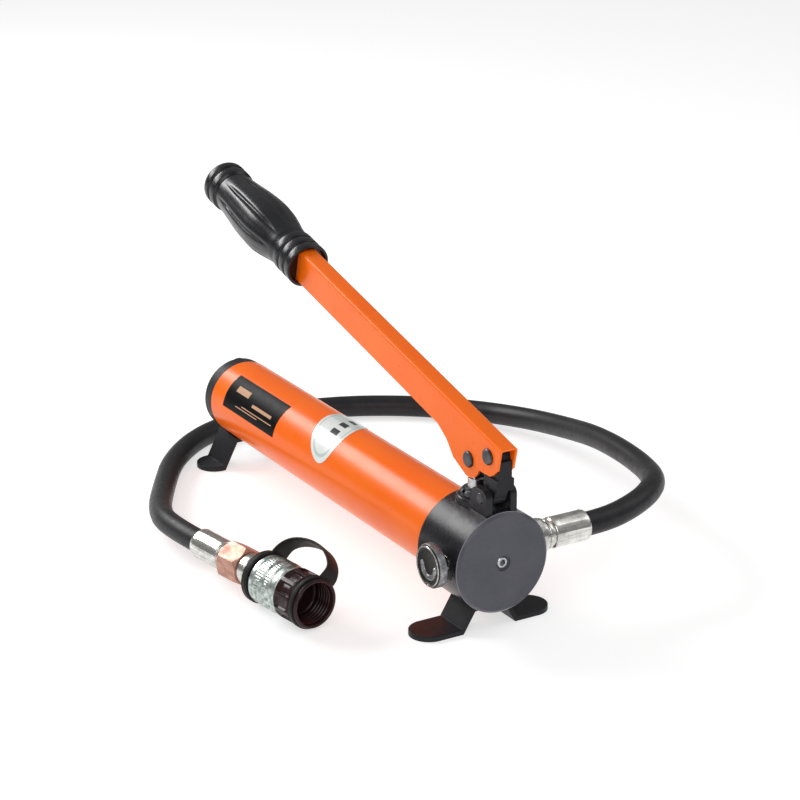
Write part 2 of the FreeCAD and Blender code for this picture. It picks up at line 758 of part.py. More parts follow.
def make_clip(name, at, half_length):
    """An open retaining ring in the groove of a pin."""
    inner = number(size("pin_radius")) - 0.9
    outer = inner + 3.4
    disc = Part.makeCylinder(outer, 0.9).cut(Part.makeCylinder(inner, 0.9))
    mouth = Part.makeBox(2 * outer, 3.6, 0.9, Vector(0, -1.8, 0))
    obj = solid_feature(name, disc.cut(mouth))
    spot = Vector(*[number(value) for value in at]) + Vector(0, number(half_length) + 0.45, 0)
    obj.Placement = Placement(spot, ALONG["+y"].multiply(Z_TO_X))
    return obj


def make_pins():
    half = size("lever_width") / 2
    fulcrum = lever_place()
    plunger = (size("front_face") - size("plunger_back"), 0, size("plunger_pin_height"))
    return [
        make_pin("fulcrum_pin", fulcrum, half, 5.2, 1.6),
        make_pin("plunger_pin", plunger, half, 5.2, 1.6),
        make_clip("fulcrum_pin_clip", fulcrum, half),
        make_clip("plunger_pin_clip", plunger, half),
    ]


def make_link():
    """The swing link between the head's clevis and the lever's fulcrum pin."""
    face = size("front_face")
    low = (face - size("link_back"), 0, size("link_height"))
    high = lever_place()
    width = size("link_width")
    blade = plate("link_blade", [
        (high[0] - 7.6, high[2]), (high[0] - 7.2, high[2] - 8), (low[0] - 5.4, low[2]),
        (low[0] + 5.8, low[2]), (low[0] + 8.5, low[2] + 6.5), (face + 1.0, low[2] + 12),
        (face + 1.0, high[2] - 1.4),
        (high[0], high[2] + 1),
    ], width, (0, 0, 0), None, "XZ_Plane")
    shoulder = box("link_shoulder", (8.5, size("lever_width"), 7.5),
                   (face - 7.5, -size("lever_width") / 2, low[2] + 6.4))
    blank = fuse("link_blank", [
        blade, shoulder,
        cylinder("link_top_eye", 7.8, width, (high[0], -width / 2, high[2]), "+y"),
        cylinder("link_low_eye", 5.6, width, (low[0], -width / 2, low[2]), "+y"),
    ])
    play = size("pin_radius") + size("pin_play")
    return cut("swing_link", blank, [
        cylinder("link_top_hole", play, 30, (high[0], -15, high[2]), "+y"),
        cylinder("link_low_hole", play - 0.5, 30, (low[0], -15, low[2]), "+y"),
    ])


def make_link_pin():
    """The plain pin pressed through both ears of the clevis."""
    at = (size("front_face") - size("link_back"), 0, size("link_height"))
    half = size("lever_width") / 2 + size("lug_gap") + size("lug_thickness")
    radius = size("pin_radius") - 0.5
    return turned("link_pin", [
        (-half - 0.4, 0), (-half - 0.4, radius - 0.4), (-half, radius), (half, radius),
        (half + 0.4, radius - 0.4), (half + 0.4, 0),
    ], at, ALONG["+y"])


def make_plunger():
    """The ground plunger, with an eye slotted sideways so that its pin can follow the lever's arc."""
    x = size("front_face") - size("plunger_back")
    eye = size("plunger_pin_height")
    low = size("plunger_low")
    radius = size("plunger_radius")
    rod = turned("plunger_rod", [
        (low, 0), (low, radius - 0.8), (low + 0.8, radius), (eye - 12.8, radius), (eye - 12.8, 4.6),
        (eye - 6, 4.6), (eye - 6, 0),
    ], (x, 0, 0), ALONG["+z"])
    width = size("link_width")
    head = cylinder("plunger_eye_round", 7.6, width, (x, -width / 2, eye), "+y")
    neck = box("plunger_neck", (9.2, width, 9.8), (x - 4.6, -width / 2, eye - 12.8))
    slot = [
        cylinder("plunger_slot_rear", 4.6, 30, (x - 0.9, -15, eye), "+y"),
        cylinder("plunger_slot_front", 4.6, 30, (x + 1.9, -15, eye), "+y"),
        box("plunger_slot_middle", (2.8, 30, 9.2), (x - 0.9, -15, eye - 4.6)),
    ]
    return cut("plunger", fuse("plunger_blank", [rod, head, neck]), slot)


# --- hose and fittings -------------------------------------------------------------------------

def coupler_direction():
    turn = math.radians(number(size("coupler_turn")))
    return Vector(math.cos(turn), math.sin(turn), 0)


def coupler_rotation():
    return Rotation(Vector(0, 0, 1), number(size("coupler_turn")))


def hose_route():
    """Corner points of the hose's middle line, from the port ferrule to the end ferrule."""
    face = number(size("front_face"))
    axis = number(size("axis_height"))
    end = hose_end()
    before_end = end - coupler_direction() * LAST_RUN
    floor = number(size("hose_radius")) + 0.3
    behind_face = [
        (-25.0, 78.0, axis), (-25.0, 94.0, axis), (-29.0, 115.5, 51.8), (-40.0, 138.5, 52.8),
        (-58.5, 158.0, 51.3), (-88.0, 173.5, 46.5), (-129.0, 184.5, 43.0), (-178.0, 194.5, 36.5),
        (-230.0, 203.5, 24.7), (-283.0, 204.5, 14.5), (-330.5, 186.0, 9.2), (-369.0, 147.0, floor),
        (-394.5, 98.0, floor), (-403.5, 44.0, floor), (-394.0, -8.0, floor), (-359.0, -52.0, floor),
        (-308.0, -85.0, 8.6), (-262.0, -110.0, 14.5),
    ]
    return [Vector(face + x, y, z) for x, y, z in behind_face] + [before_end, end]


def tangent_path(points):
    """Straight runs joined by tangent arcs, each as large as its two runs allow, and the arcs' radii."""
    edges = []
    radii = []
    start = points[0]
    for before, corner, after in zip(points, points[1:], points[2:]):
        arrive = (corner - before).normalize()
        leave = (after - corner).normalize()
        half_turn = arrive.getAngle(leave) / 2
        reach = 0.45 * min(corner.distanceToPoint(before), corner.distanceToPoint(after))
        radius = reach / math.tan(half_turn)
        radii.append(radius)
        arc_start = corner - arrive * reach
        arc_end = corner + leave * reach
        inward = (leave - arrive).normalize()
        middle = corner + inward * (radius / math.cos(half_turn) - radius)
        edges.append(Part.LineSegment(start, arc_start).toShape())
        edges.append(Part.Arc(arc_start, middle, arc_end).toShape())
        start = arc_end
    edges.append(Part.LineSegment(start, points[-1]).toShape())
    return Part.Wire(edges), radii


def make_hose():
    points = hose_route()
    path, bends = tangent_path(points)
    radius = number(size("hose_radius"))
    for bend in bends:
        print(f"hose bend radius {bend:.1f} mm, {bend / (2 * radius):.1f} diameters")
    first = (points[1] - points[0]).normalize()
    section = Part.Wire(Part.makeCircle(radius, points[0], first))
    tube = path.makePipeShell([section], True, True)
    expected = math.pi * radius ** 2 * path.Length
    print(f"hose length {path.Length:.1f} mm, volume {tube.Volume:.0f} mm3, expected {expected:.0f} mm3")
    if abs(tube.Volume / expected - 1) > 0.01:
        raise ValueError("the hose's volume doesn't match its section and length")
    return solid_feature("hose", tube)


def crimped_ferrule(name, length, start, rotation):
    """A crimped steel ferrule with three shallow swaged bands."""
    outer = size("ferrule_radius")
    profile = [(0, 0), (0, outer - 0.6), (0.6, outer), (length * 0.16, outer)]
    for band in range(3):
        near = length * (0.2 + 0.24 * band)
        profile += [(near, outer - 0.5), (near + length * 0.14, outer - 0.5), (near + length * 0.18, outer)]
    profile += [(length - 1.0, outer), (length, outer - 1.0), (length, 0)]
    return turned(name, profile, start, rotation)


def make_port_fittings():
    """The adapter screwed into the head, and the ferrule that joins the hose to it."""
    axis = size("axis_height")
    x = size("front_face") - size("port_back")
    face = size("port_face")
    blank = turned("outlet_adapter_blank", [
        (22.2, 1.8), (22.2, 5.4), (22.8, 5.96), (face, 5.96), (face, 11.4), (face + 1, 11.8),
        (face + 9.6, 11.8), (face + 10.6, 11.0), (face + 12.2, 11.0), (face + 12.2, 9.2), (face + 13.5, 9.2),
        (face + 13.5, 1.8),
    ], (x, 0, axis), ALONG["+y"])
    flats = hexagon("outlet_adapter_flats", 22.4, 40, (x, 15, axis), "+y")
    keep = common("outlet_adapter", blank, flats)
    ferrule = crimped_ferrule("port_ferrule", 32.0, (x, face + 13.5, axis), ALONG["+y"])
    return [keep, ferrule]


def hose_end():
    return Vector(number(size("front_face")) + HOSE_END_X, HOSE_END_Y, number(size("coupler_height")))


def coupler_point(distance):
    """The point this far past the hose's end on the coupler's axis."""
    point = hose_end() + coupler_direction() * distance
    return (point.x, point.y, size("coupler_height"))


def coupler_part(name, profile):
    return turned(name, profile, coupler_point(0), coupler_rotation())


def make_end_fittings():
    """The ferrule on the hose's end, and the hexagonal adapter whose socket holds the coupler's tail."""
    rear = 34.0
    front = 54.0
    tail = 50.0
    ferrule = crimped_ferrule("end_ferrule", rear, coupler_point(0), coupler_rotation())
    hexagonal = doc.addObject("Part::Prism", "hose_adapter_hex")
    hexagonal.Polygon = 6
    hexagonal.Circumradius = 13.6
    hexagonal.Height = front - rear
    place(hexagonal, coupler_point(rear), coupler_rotation().multiply(Z_TO_X))
    rounded = coupler_part("hose_adapter_round", [
        (rear, 2), (rear, 11.8), (rear + 2, 13.6), (front - 3, 13.6), (front, 11.6), (front, 10.2),
        (tail, 10.2), (tail, 2),
    ])
    adapter = common("hose_adapter", hexagonal, rounded)
    return [ferrule, adapter]


def make_coupler():
    """The quick coupler: a fixed body with a spring-loaded poppet, and a threaded sleeve that spins."""
    outer = size("sleeve_radius")
    body = coupler_part("coupler_body", [
        (50, 3), (50, 10.2), (54.4, 10.2), (55, 10.7), (60, 10.7), (61, 10.0), (66, 10.0), (67, 10.6),
        (73.8, 10.6), (74.0, 9.6), (75.3, 9.6), (75.3, 12.6), (78.3, 12.6), (78.3, 10.8), (88.0, 10.8),
        (88.0, 8.6), (84.0, 5.0), (80.0, 5.0), (80.0, 7.6), (56.0, 7.6), (56.0, 3),
    ])
    poppet = coupler_part("coupler_poppet", [
        (64, 0), (64, 3.0), (76, 3.0), (76, 7.2), (79.9, 7.2), (79.9, 4.6), (84.5, 4.6), (84.5, 0),
    ])
    spring = coil_spring("coupler_spring", 5.0, 0.6, 18.0, 5, coupler_point(57.2), coupler_rotation())
    sleeve = coupler_part("coupler_sleeve", [
        (74.4, 9.9), (74.4, outer - 1.6), (75.4, outer - 0.6), (79.2, outer - 0.6), (79.9, outer - 1.4),
        (80.7, outer), (87.4, outer), (88.2, outer - 1.4), (89.2, outer - 1.4), (90.0, outer),
        (94.6, outer), (95.4, outer - 1.4), (96.6, outer - 0.5), (101.0, outer - 0.5),
        (102.0, outer - 1.6), (102.0, 13.2),
        (78.6, 13.2), (78.6, 12.9), (75.0, 12.9), (75.0, 9.9),
    ])
    retainer = coupler_part("sleeve_retaining_ring", [
        (78.7, 10.85), (78.7, 13.0), (79.9, 13.0), (79.9, 10.85),
    ])
    return [body, poppet, spring, sleeve, retainer]


def make_dust_cap():
    """A fluted screw cap, deeply dished at its outer end, with a ring groove for its tether."""
    outer = size("cap_grip_radius")
    blank = coupler_part("dust_cap_blank", [
        (89.5, 0), (89.5, 12.4), (90.3, 13.1), (102.2, 13.1), (102.2, outer - 0.6), (103.0, outer),
        (118.0, outer), (118.6, 15.4), (122.6, 15.4), (122.6, 16.2), (124.4, 16.2), (124.9, 15.6),
        (124.9, 14.0), (106.0, 13.2), (106.0, 0),
    ])
    flutes = []
    count = 10
    for index in range(count):
        turn = coupler_rotation().multiply(Rotation(Vector(1, 0, 0), 360.0 * (index + 0.5) / count))
        flute = doc.addObject("Part::Cylinder", f"cap_flute_{index}")
        flute.Radius = 3.4
        flute.Height = 12.6
        offset = turn.multVec(Vector(0, 0, number(outer) + 2.2))
        start = Vector(*[number(value) for value in coupler_point(104.0)]) + offset
        flute.Placement = Placement(start, turn.multiply(Z_TO_X))
        flutes.append(flute)
    return cut("dust_cap", blank, flutes)


def make_tether():
    """A rubber ring behind the sleeve, a flat strap arching over it, and a ring round the cap's end."""
    rear = coupler_part("tether_rear_ring", [
        (68.4, 10.7), (68.4, 17.0), (69.2, 17.6), (72.8, 17.6), (73.6, 17.0), (73.6, 10.7),
    ])
    front = coupler_part("tether_front_ring", [(118.8, 15.6), (118.8, 17.4), (122.4, 17.4), (122.4, 15.6)])
    strap = make_strap()
    return fuse("cap_tether", [rear, front, strap])


def make_strap():
    """The strap's arch, in the plane that leans half way to the far side."""
    lean = coupler_rotation().multiply(Rotation(Vector(1, 0, 0), -45))
    width = 10.0
    thick = 1.7
    arch = [
        (71.0, 12.0), (70.4, 21.5), (77.5, 29.5), (91.0, 34.0), (106.0, 33.5), (117.5, 28.0), (122.2, 20.8),
        (121.4, 16.4),
    ]
    points = [Vector(x, 0, z) for x, z in arch]
    path, _ = tangent_path(points)
    corners = [points[0] + Vector(x * thick / 2, y * width / 2, 0)
               for x, y in ((-1, -1), (1, -1), (1, 1), (-1, 1), (-1, -1))]
    obj = solid_feature("tether_strap", path.makePipeShell([Part.makePolygon(corners)], True, True))
    obj.Placement = Placement(Vector(*[number(value) for value in coupler_point(0)]), lean)
    return obj


# --- labels ------------------------------------------------------------------------------------

def make_label(name, start, length, middle_angle, spread):
    """A thin curved label on the reservoir: middle_angle is measured from +Z towards -Y."""
    thin = 0.25
    outer = number(size("tube_radius"))
    shell = Part.makeCylinder(outer + thin, length, Vector(0, 0, 0), Vector(1, 0, 0), spread)
    shell = shell.cut(Part.makeCylinder(outer + 0.01, length, Vector(0, 0, 0), Vector(1, 0, 0))).Solids[0]
    obj = solid_feature(name, shell)
    obj.Placement = Placement(Vector(start, 0, number(size("axis_height"))),
                              Rotation(Vector(1, 0, 0), label_roll(shell, middle_angle)))
    return obj


def label_roll(shell, middle_angle):
    """The roll about X that brings the middle of the shell to middle_angle."""
    centre = shell.CenterOfMass
    now = math.degrees(math.atan2(-centre.y, centre.z))
    return middle_angle - now


def make_labels():
    """Both film labels, each from its four sizes in the sheet."""
    labels = []
    for name in ("maker_label", "rating_label"):
        start = number(size("front_face") - size(f"{name}_back"))
        length = number(size(f"{name}_length"))
        turn = number(size(f"{name}_turn"))
        spread = number(size(f"{name}_spread"))
        labels.append(make_label(name, start, length, turn, spread))
    return labels


# --- document ----------------------------------------------------------------------------------

def make_sheet():
    table = doc.addObject("Spreadsheet::Sheet", "Sizes")
    for row, (alias, value) in enumerate(DIMENSIONS.items(), start=1):
        table.set(f"A{row}", alias)
        table.set(f"B{row}", str(value))
        table.setAlias(f"B{row}", alias)
    doc.recompute()
    return table


def make_nodes():
    pieces = [make_head()] + make_gland() + make_inlet_valve() + make_outlet_valve() + make_relief_valve()
    pieces += make_release_valve() + make_reservoir() + make_feet()
    pieces += [make_lever(), make_grip()] + make_pins() + [make_link(), make_link_pin(), make_plunger()]
    pieces += [make_hose()] + make_port_fittings() + make_end_fittings() + make_coupler()
    pieces += [make_dust_cap(), make_tether()] + make_labels()
    return pieces


def check_document():
    for obj in doc.Objects:
        if "Invalid" in obj.State or "Error" in obj.State:
            raise RuntimeError(f"{obj.Name} failed: {obj.State}")


def write_nodes(nodes):
    os.makedirs("parts", exist_ok=True)
    for node in nodes:
        node.Label = node.Name
        shape = node.Shape
        if shape.isNull() or not shape.isValid() or not shape.Solids:
            raise RuntimeError(f"{node.Name} has no valid solid")
        shape.exportStep(f"parts/{node.Name}.step")
    print(f"{len(nodes)} nodes written")


doc = FreeCAD.newDocument("HandPump")
sheet = make_sheet()
nodes = make_nodes()
doc.recompute()
check_document()
write_nodes(nodes)
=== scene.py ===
import bmesh
import bpy
import json
import math
from mathutils import Matrix, Vector


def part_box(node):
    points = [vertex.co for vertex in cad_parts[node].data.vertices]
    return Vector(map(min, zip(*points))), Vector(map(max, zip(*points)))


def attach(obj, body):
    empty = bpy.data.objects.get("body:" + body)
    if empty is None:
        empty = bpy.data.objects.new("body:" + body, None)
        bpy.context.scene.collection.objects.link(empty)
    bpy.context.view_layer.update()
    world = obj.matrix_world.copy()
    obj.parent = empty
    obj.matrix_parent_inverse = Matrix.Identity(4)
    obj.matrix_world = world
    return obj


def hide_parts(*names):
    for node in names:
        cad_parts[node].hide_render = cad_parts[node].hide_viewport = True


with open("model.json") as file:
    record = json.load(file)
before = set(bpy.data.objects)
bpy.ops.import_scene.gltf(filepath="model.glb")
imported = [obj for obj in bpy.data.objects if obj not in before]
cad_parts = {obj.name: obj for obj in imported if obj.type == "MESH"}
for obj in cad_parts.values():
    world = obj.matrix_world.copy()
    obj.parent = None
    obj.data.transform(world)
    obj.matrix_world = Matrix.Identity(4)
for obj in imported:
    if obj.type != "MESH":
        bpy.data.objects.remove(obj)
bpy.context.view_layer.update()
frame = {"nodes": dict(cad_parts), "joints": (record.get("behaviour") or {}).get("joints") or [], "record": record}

# Hydraulic hand pump. Lengths are metres in the part's frame: +X from the reservoir to the head's
# front face, +Y to the hose port, +Z up. Profiles are in millimetres and are scaled by MM.

MM = 0.001
WELD = 1e-6
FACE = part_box("pump_head")[1].x
TUBE_LOW, TUBE_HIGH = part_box("reservoir_tube")
AXIS_HEIGHT = (TUBE_LOW.z + TUBE_HIGH.z) / 2
TUBE_RADIUS = (TUBE_HIGH.z - TUBE_LOW.z) / 2
JOINTS = {joint["name"]: joint for joint in frame["joints"]}
BODY_OF = {node: body for body, nodes in frame["record"]["behaviour"]["bodies"].items() for node in nodes}

# The coupler's heading from the end of the hose, and the lever's rise from the fulcrum pin.
COUPLER_TURN = math.radians(8.2)
LEVER_ANGLE = math.radians(13.5)
HOSE_END = Vector((FACE - 0.190, -0.114, 0.0184))
LAST_RUN = 0.038
HOSE_DIAMETER = 0.016
PORT_BACK = 0.025
PORT_FACE = 0.0325
HEAD_CHAMFER = 0.0018
KNOB_BACK = 0.016
KNOB_HEIGHT = 0.052
GRIP_START = 0.244
SHARP_ANGLE = math.radians(35)
STRAP_LEAN = math.radians(45)

# The white sticker is a leaning ellipse: its middle along x and round the tube, its halves and its lean.
LABEL_RADIUS = TUBE_RADIUS + 0.0003
LABEL_THICKNESS = 0.00022
RATING_X = -0.014
RATING_ARC = 0.005
RATING_SHEAR = 0.33
RATING_HALF_WIDTH = 0.018
RATING_HALF_HEIGHT = 0.030

COUPLER = Matrix.Translation(HOSE_END) @ Matrix.Rotation(COUPLER_TURN, 4, "Z")
PORT = Matrix.Translation((FACE - PORT_BACK, 0, AXIS_HEIGHT)) @ Matrix.Rotation(math.pi / 2, 4, "Z")
KNOB = Matrix.Translation((FACE - KNOB_BACK, 0, KNOB_HEIGHT)) @ Matrix.Rotation(-math.pi / 2, 4, "Z")
FULCRUM = Vector(JOINTS["handle_pump"]["pos_m"])


def lever_frame():
    """Local x runs along the lever to the grip and local y points to its upper side."""
    along = Vector((-math.cos(LEVER_ANGLE), 0, math.sin(LEVER_ANGLE)))
    above = Vector((math.sin(LEVER_ANGLE), 0, math.cos(LEVER_ANGLE)))
    across = Vector((0, 1, 0))
    turned = Matrix((along, above, across)).transposed().to_4x4()
    return Matrix.Translation(FULCRUM) @ turned


LEVER = lever_frame()


# --- camera, light and floor -------------------------------------------------------------------

def add_camera():
    """A long lens looking down from the front left."""
    azimuth = math.radians(59.2)
    elevation = math.radians(20.31)
    distance = 1.7065
    target = Vector((FACE - 0.1548, 0.0179, 0.1050))
    away = Vector((math.sin(azimuth) * math.cos(elevation), -math.cos(azimuth) * math.cos(elevation),
                   math.sin(elevation)))
    data = bpy.data.cameras.new("camera")
    data.lens = 115.95
    camera = bpy.data.objects.new("camera", data)
    camera.location = target + away * distance
    camera.rotation_euler = (-away).to_track_quat("-Z", "Y").to_euler()
    bpy.context.scene.collection.objects.link(camera)
    bpy.context.scene.camera = camera


def add_light(name, direction, distance, width, height, power):
    """A soft box that looks at the middle of the pump."""
    middle = Vector((0, 0, AXIS_HEIGHT))
    data = bpy.data.lights.new(name, "AREA")
    data.shape = "RECTANGLE"
    data.size = width
    data.size_y = height
    data.energy = power
    light = bpy.data.objects.new(name, data)
    away = Vector(direction).normalized()
    light.location = middle + away * distance
    light.rotation_euler = (-away).to_track_quat("-Z", "Y").to_euler()
    bpy.context.scene.collection.objects.link(light)


def add_world():
    """A grey studio: bright overhead, darker towards the horizon."""
    world = bpy.data.worlds.new("studio")
    world.use_nodes = True
    tree = world.node_tree
    direction = tree.nodes.new("ShaderNodeTexCoord")
    split = tree.nodes.new("ShaderNodeSeparateXYZ")
    rise = tree.nodes.new("ShaderNodeMapRange")
    rise.inputs["From Min"].default_value = 0.0
    rise.inputs["From Max"].default_value = 0.9
    rise.inputs["To Min"].default_value = 0.16
    rise.inputs["To Max"].default_value = 0.42
    tree.links.new(direction.outputs["Generated"], split.inputs["Vector"])
    tree.links.new(split.outputs["Z"], rise.inputs["Value"])
    background = tree.nodes["Background"]
    background.inputs["Color"].default_value = (1.0, 1.0, 1.0, 1.0)
    tree.links.new(rise.outputs["Result"], background.inputs["Strength"])
    bpy.context.scene.world = world


def add_floor():
    """A wide pale floor that glows a little, as a light table does."""
    mesh = bpy.data.meshes.new("floor")
    half = 8.0
    corners = [(-half, -half, 0), (half, -half, 0), (half, half, 0), (-half, half, 0)]
    mesh.from_pydata(corners, [], [(0, 1, 2, 3)])
    floor = bpy.data.objects.new("floor", mesh)
    floor.location.z = -0.0001
    material = bpy.data.materials.new("floor_white")
    material.use_nodes = True
    shader = material.node_tree.nodes["Principled BSDF"]
    shader.inputs["Base Color"].default_value = (0.55, 0.55, 0.55, 1.0)
    shader.inputs["Roughness"].default_value = 0.9
    shader.inputs["Specular IOR Level"].default_value = 0.2
    shader.inputs["Emission Color"].default_value = (1.0, 1.0, 1.0, 1.0)
    shader.inputs["Emission Strength"].default_value = 0.62
    mesh.materials.append(material)
    bpy.context.scene.collection.objects.link(floor)


def add_studio():
    add_world()
    add_floor()
    add_light("key", (-0.806, -0.40, 0.62), 1.6, 1.1, 0.42, 17)
    add_light("front_fill", (0.9, -0.55, 0.75), 1.8, 1.2, 1.0, 9)
    add_light("right_fill", (0.35, 1.0, 0.9), 1.8, 1.2, 1.0, 5)


# --- material helpers --------------------------------------------------------------------------

def new_material(name, **sockets):
    """A Principled material; a keyword such as coat_weight sets the socket called Coat Weight."""
    material = bpy.data.materials.new(name)
    material.use_nodes = True
    shader = material.node_tree.nodes["Principled BSDF"]
    names = {socket.name.lower().replace(" ", "_"): socket.name for socket in shader.inputs}
    for keyword, value in sockets.items():
        shader.inputs[names[keyword]].default_value = value
    return material, material.node_tree, shader


def object_space(tree, size, turn=(0.0, 0.0, 0.0)):
    """Coordinates in which one unit is size metres along each axis of a turned frame."""
    source = tree.nodes.new("ShaderNodeTexCoord")
    mapping = tree.nodes.new("ShaderNodeMapping")
    mapping.vector_type = "TEXTURE"
    mapping.inputs["Scale"].default_value = size
    mapping.inputs["Rotation"].default_value = turn
    tree.links.new(source.outputs["Object"], mapping.inputs["Vector"])
    return mapping.outputs["Vector"]


def noise(tree, size, turn=(0.0, 0.0, 0.0), detail=3.0, roughness=0.55, seed=0.0):
    """Noise whose features are about size metres along each axis."""
    if isinstance(size, float):
        size = (size, size, size)
    node = tree.nodes.new("ShaderNodeTexNoise")
    node.noise_dimensions = "4D"
    node.inputs["W"].default_value = seed
    node.inputs["Scale"].default_value = 1.0
    node.inputs["Detail"].default_value = detail
    node.inputs["Roughness"].default_value = roughness
    tree.links.new(object_space(tree, size, turn), node.inputs["Vector"])
    return node.outputs["Fac"]


def spread(tree, factor, low, high, start=0.3, end=0.7):
    """Turns a factor between start and end into a number between low and high."""
    node = tree.nodes.new("ShaderNodeMapRange")
    node.inputs["From Min"].default_value = start
    node.inputs["From Max"].default_value = end
    node.inputs["To Min"].default_value = low
    node.inputs["To Max"].default_value = high
    tree.links.new(factor, node.inputs["Value"])
    return node.outputs["Result"]


def blend_colours(tree, factor, first, second):
    """first where factor is 0, second where it is 1; each is a colour or a socket."""
    node = tree.nodes.new("ShaderNodeMix")
    node.data_type = "RGBA"
    tree.links.new(factor, node.inputs[0])
    for socket, value in ((node.inputs[6], first), (node.inputs[7], second)):
        if isinstance(value, tuple):
            socket.default_value = (*value, 1.0)
        else:
            tree.links.new(value, socket)
    return node.outputs[2]


def calculate(tree, operation, first, second=0.0, third=0.0):
    """One Math node; each input is a number or a socket."""
    node = tree.nodes.new("ShaderNodeMath")
    node.operation = operation
    for socket, value in zip(node.inputs, (first, second, third)):
        if isinstance(value, float):
            socket.default_value = value
        else:
            tree.links.new(value, socket)
    return node.outputs["Value"]


def add_bumps(tree, shader, layers, edge_radius=0.0):
    """Bump layers of (height socket, depth in metres), over edges softened by edge_radius."""
    normal = None
    if edge_radius:
        soften = tree.nodes.new("ShaderNodeBevel")
        soften.samples = 4
        soften.inputs["Radius"].default_value = edge_radius
        normal = soften.outputs["Normal"]
    for height, depth in layers:
        bump = tree.nodes.new("ShaderNodeBump")
        bump.inputs["Strength"].default_value = 1.0
        bump.inputs["Distance"].default_value = depth
        tree.links.new(height, bump.inputs["Height"])
        if normal:
            tree.links.new(normal, bump.inputs["Normal"])
        normal = bump.outputs["Normal"]
    tree.links.new(normal, shader.inputs["Normal"])


# --- materials ---------------------------------------------------------------------------------

def orange_paint():
    """Semi-gloss powder coat: a slightly uneven orange with fine orange peel."""
    material, tree, shader = new_material("orange_paint", specular_ior_level=0.14, coat_weight=0.2,
                                          coat_roughness=0.2)
    clouds = spread(tree, noise(tree, 0.045), 0.0, 1.0)
    colour = blend_colours(tree, clouds, (1.0, 0.148, 0.003), (1.0, 0.176, 0.006))
    dust = spread(tree, noise(tree, 0.0022, detail=4.0, seed=3.0), 0.0, 1.0, 0.62, 0.80)
    colour = blend_colours(tree, calculate(tree, "MULTIPLY", dust, 0.10), colour, (1.0, 0.36, 0.12))
    tree.links.new(colour, shader.inputs["Base Color"])
    tree.links.new(spread(tree, noise(tree, 0.012, seed=1.0), 0.27, 0.36), shader.inputs["Roughness"])
    add_bumps(tree, shader, [(noise(tree, 0.0016, detail=2.0), 0.00003)], 0.0004)
    return material


def dark_paint(name, dark, light, low_roughness, high_roughness, edge_radius):
    """Satin dark enamel over a cast surface, with faint scuffs."""
    material, tree, shader = new_material(name, specular_ior_level=0.24)
    clouds = spread(tree, noise(tree, 0.03), 0.0, 1.0)
    colour = blend_colours(tree, clouds, dark, light)
    scuffs = spread(tree, noise(tree, (0.02, 0.0012, 0.0012), detail=5.0, seed=5.0), 0.0, 1.0, 0.66, 0.80)
    lighter = 2.2
    worn = tuple(lighter * channel for channel in light)
    colour = blend_colours(tree, calculate(tree, "MULTIPLY", scuffs, 0.35), colour, worn)
    tree.links.new(colour, shader.inputs["Base Color"])
    rough = spread(tree, noise(tree, 0.008, detail=5.0, seed=2.0), low_roughness, high_roughness)
    tree.links.new(rough, shader.inputs["Roughness"])
    fine = noise(tree, 0.0006, detail=2.0, seed=1.0)
    coarse = noise(tree, 0.004, detail=2.0, seed=4.0)
    add_bumps(tree, shader, [(coarse, 0.00008), (fine, 0.00003)], edge_radius)
    return material


def head_paint():
    """Dark enamel over the cast head with a lighter satin front face, where the sides' darker tone is also painted
    shade, and a paler line round the face's rim that is a painted highlight.
    """
    material = dark_paint("head_paint", (0.012, 0.012, 0.015), (0.020, 0.0195, 0.0235), 0.24, 0.32, 0.0004)
    tree = material.node_tree
    shader = tree.nodes["Principled BSDF"]
    across, _ = tube_angle(tree)
    # The front face and its chamfer get a lighter satin colour than the sides; the sides' darker colour is also
    # painted shade.
    front = calculate(tree, "GREATER_THAN", across, FACE - HEAD_CHAMFER)
    # A thin paler line where the chamfer meets the sides is a painted highlight on the face's rim.
    rim_highlight_half_width = 0.00025
    rim = calculate(tree, "COMPARE", across, FACE - HEAD_CHAMFER, rim_highlight_half_width)
    body_colour = shader.inputs["Base Color"].links[0].from_socket
    clouds = spread(tree, noise(tree, 0.018, seed=8.0), 0.0, 1.0)
    face_colour = blend_colours(tree, clouds, (0.076, 0.075, 0.094), (0.092, 0.091, 0.110))
    two_tone_with_painted_shade = blend_colours(tree, front, body_colour, face_colour)
    painted_rim_highlight = blend_colours(tree, rim, two_tone_with_painted_shade, (0.20, 0.20, 0.23))
    tree.links.new(painted_rim_highlight, shader.inputs["Base Color"])
    return material


def moulded_plastic(name, dark, light, low_roughness, high_roughness, grain_depth, edge_radius=0.0003):
    """Moulded plastic or rubber: a fine grain, and roughness in soft patches."""
    material, tree, shader = new_material(name, specular_ior_level=0.25)
    patches = spread(tree, noise(tree, 0.014, detail=4.0), 0.0, 1.0)
    tree.links.new(blend_colours(tree, patches, dark, light), shader.inputs["Base Color"])
    rough = spread(tree, noise(tree, 0.006, detail=5.0, seed=2.0), low_roughness, high_roughness)
    tree.links.new(rough, shader.inputs["Roughness"])
    add_bumps(tree, shader, [(noise(tree, 0.0005, detail=3.0, seed=1.0), grain_depth)], edge_radius)
    return material


def grip_rubber():
    """Shiny moulded rubber with faint lengthwise drag marks."""
    material, tree, shader = new_material("grip_rubber", specular_ior_level=0.45)
    along = (0.0, LEVER_ANGLE, 0.0)
    drag = noise(tree, (0.03, 0.0015, 0.0015), along, detail=4.0)
    marks = spread(tree, drag, 0.0, 1.0)
    colour = blend_colours(tree, marks, (0.004, 0.0045, 0.006), (0.009, 0.009, 0.012))
    tree.links.new(colour, shader.inputs["Base Color"])
    tree.links.new(spread(tree, noise(tree, 0.007, detail=5.0), 0.24, 0.33), shader.inputs["Roughness"])
    add_bumps(tree, shader, [(noise(tree, 0.0007, detail=2.0), 0.00002), (drag, 0.00004)])
    return material


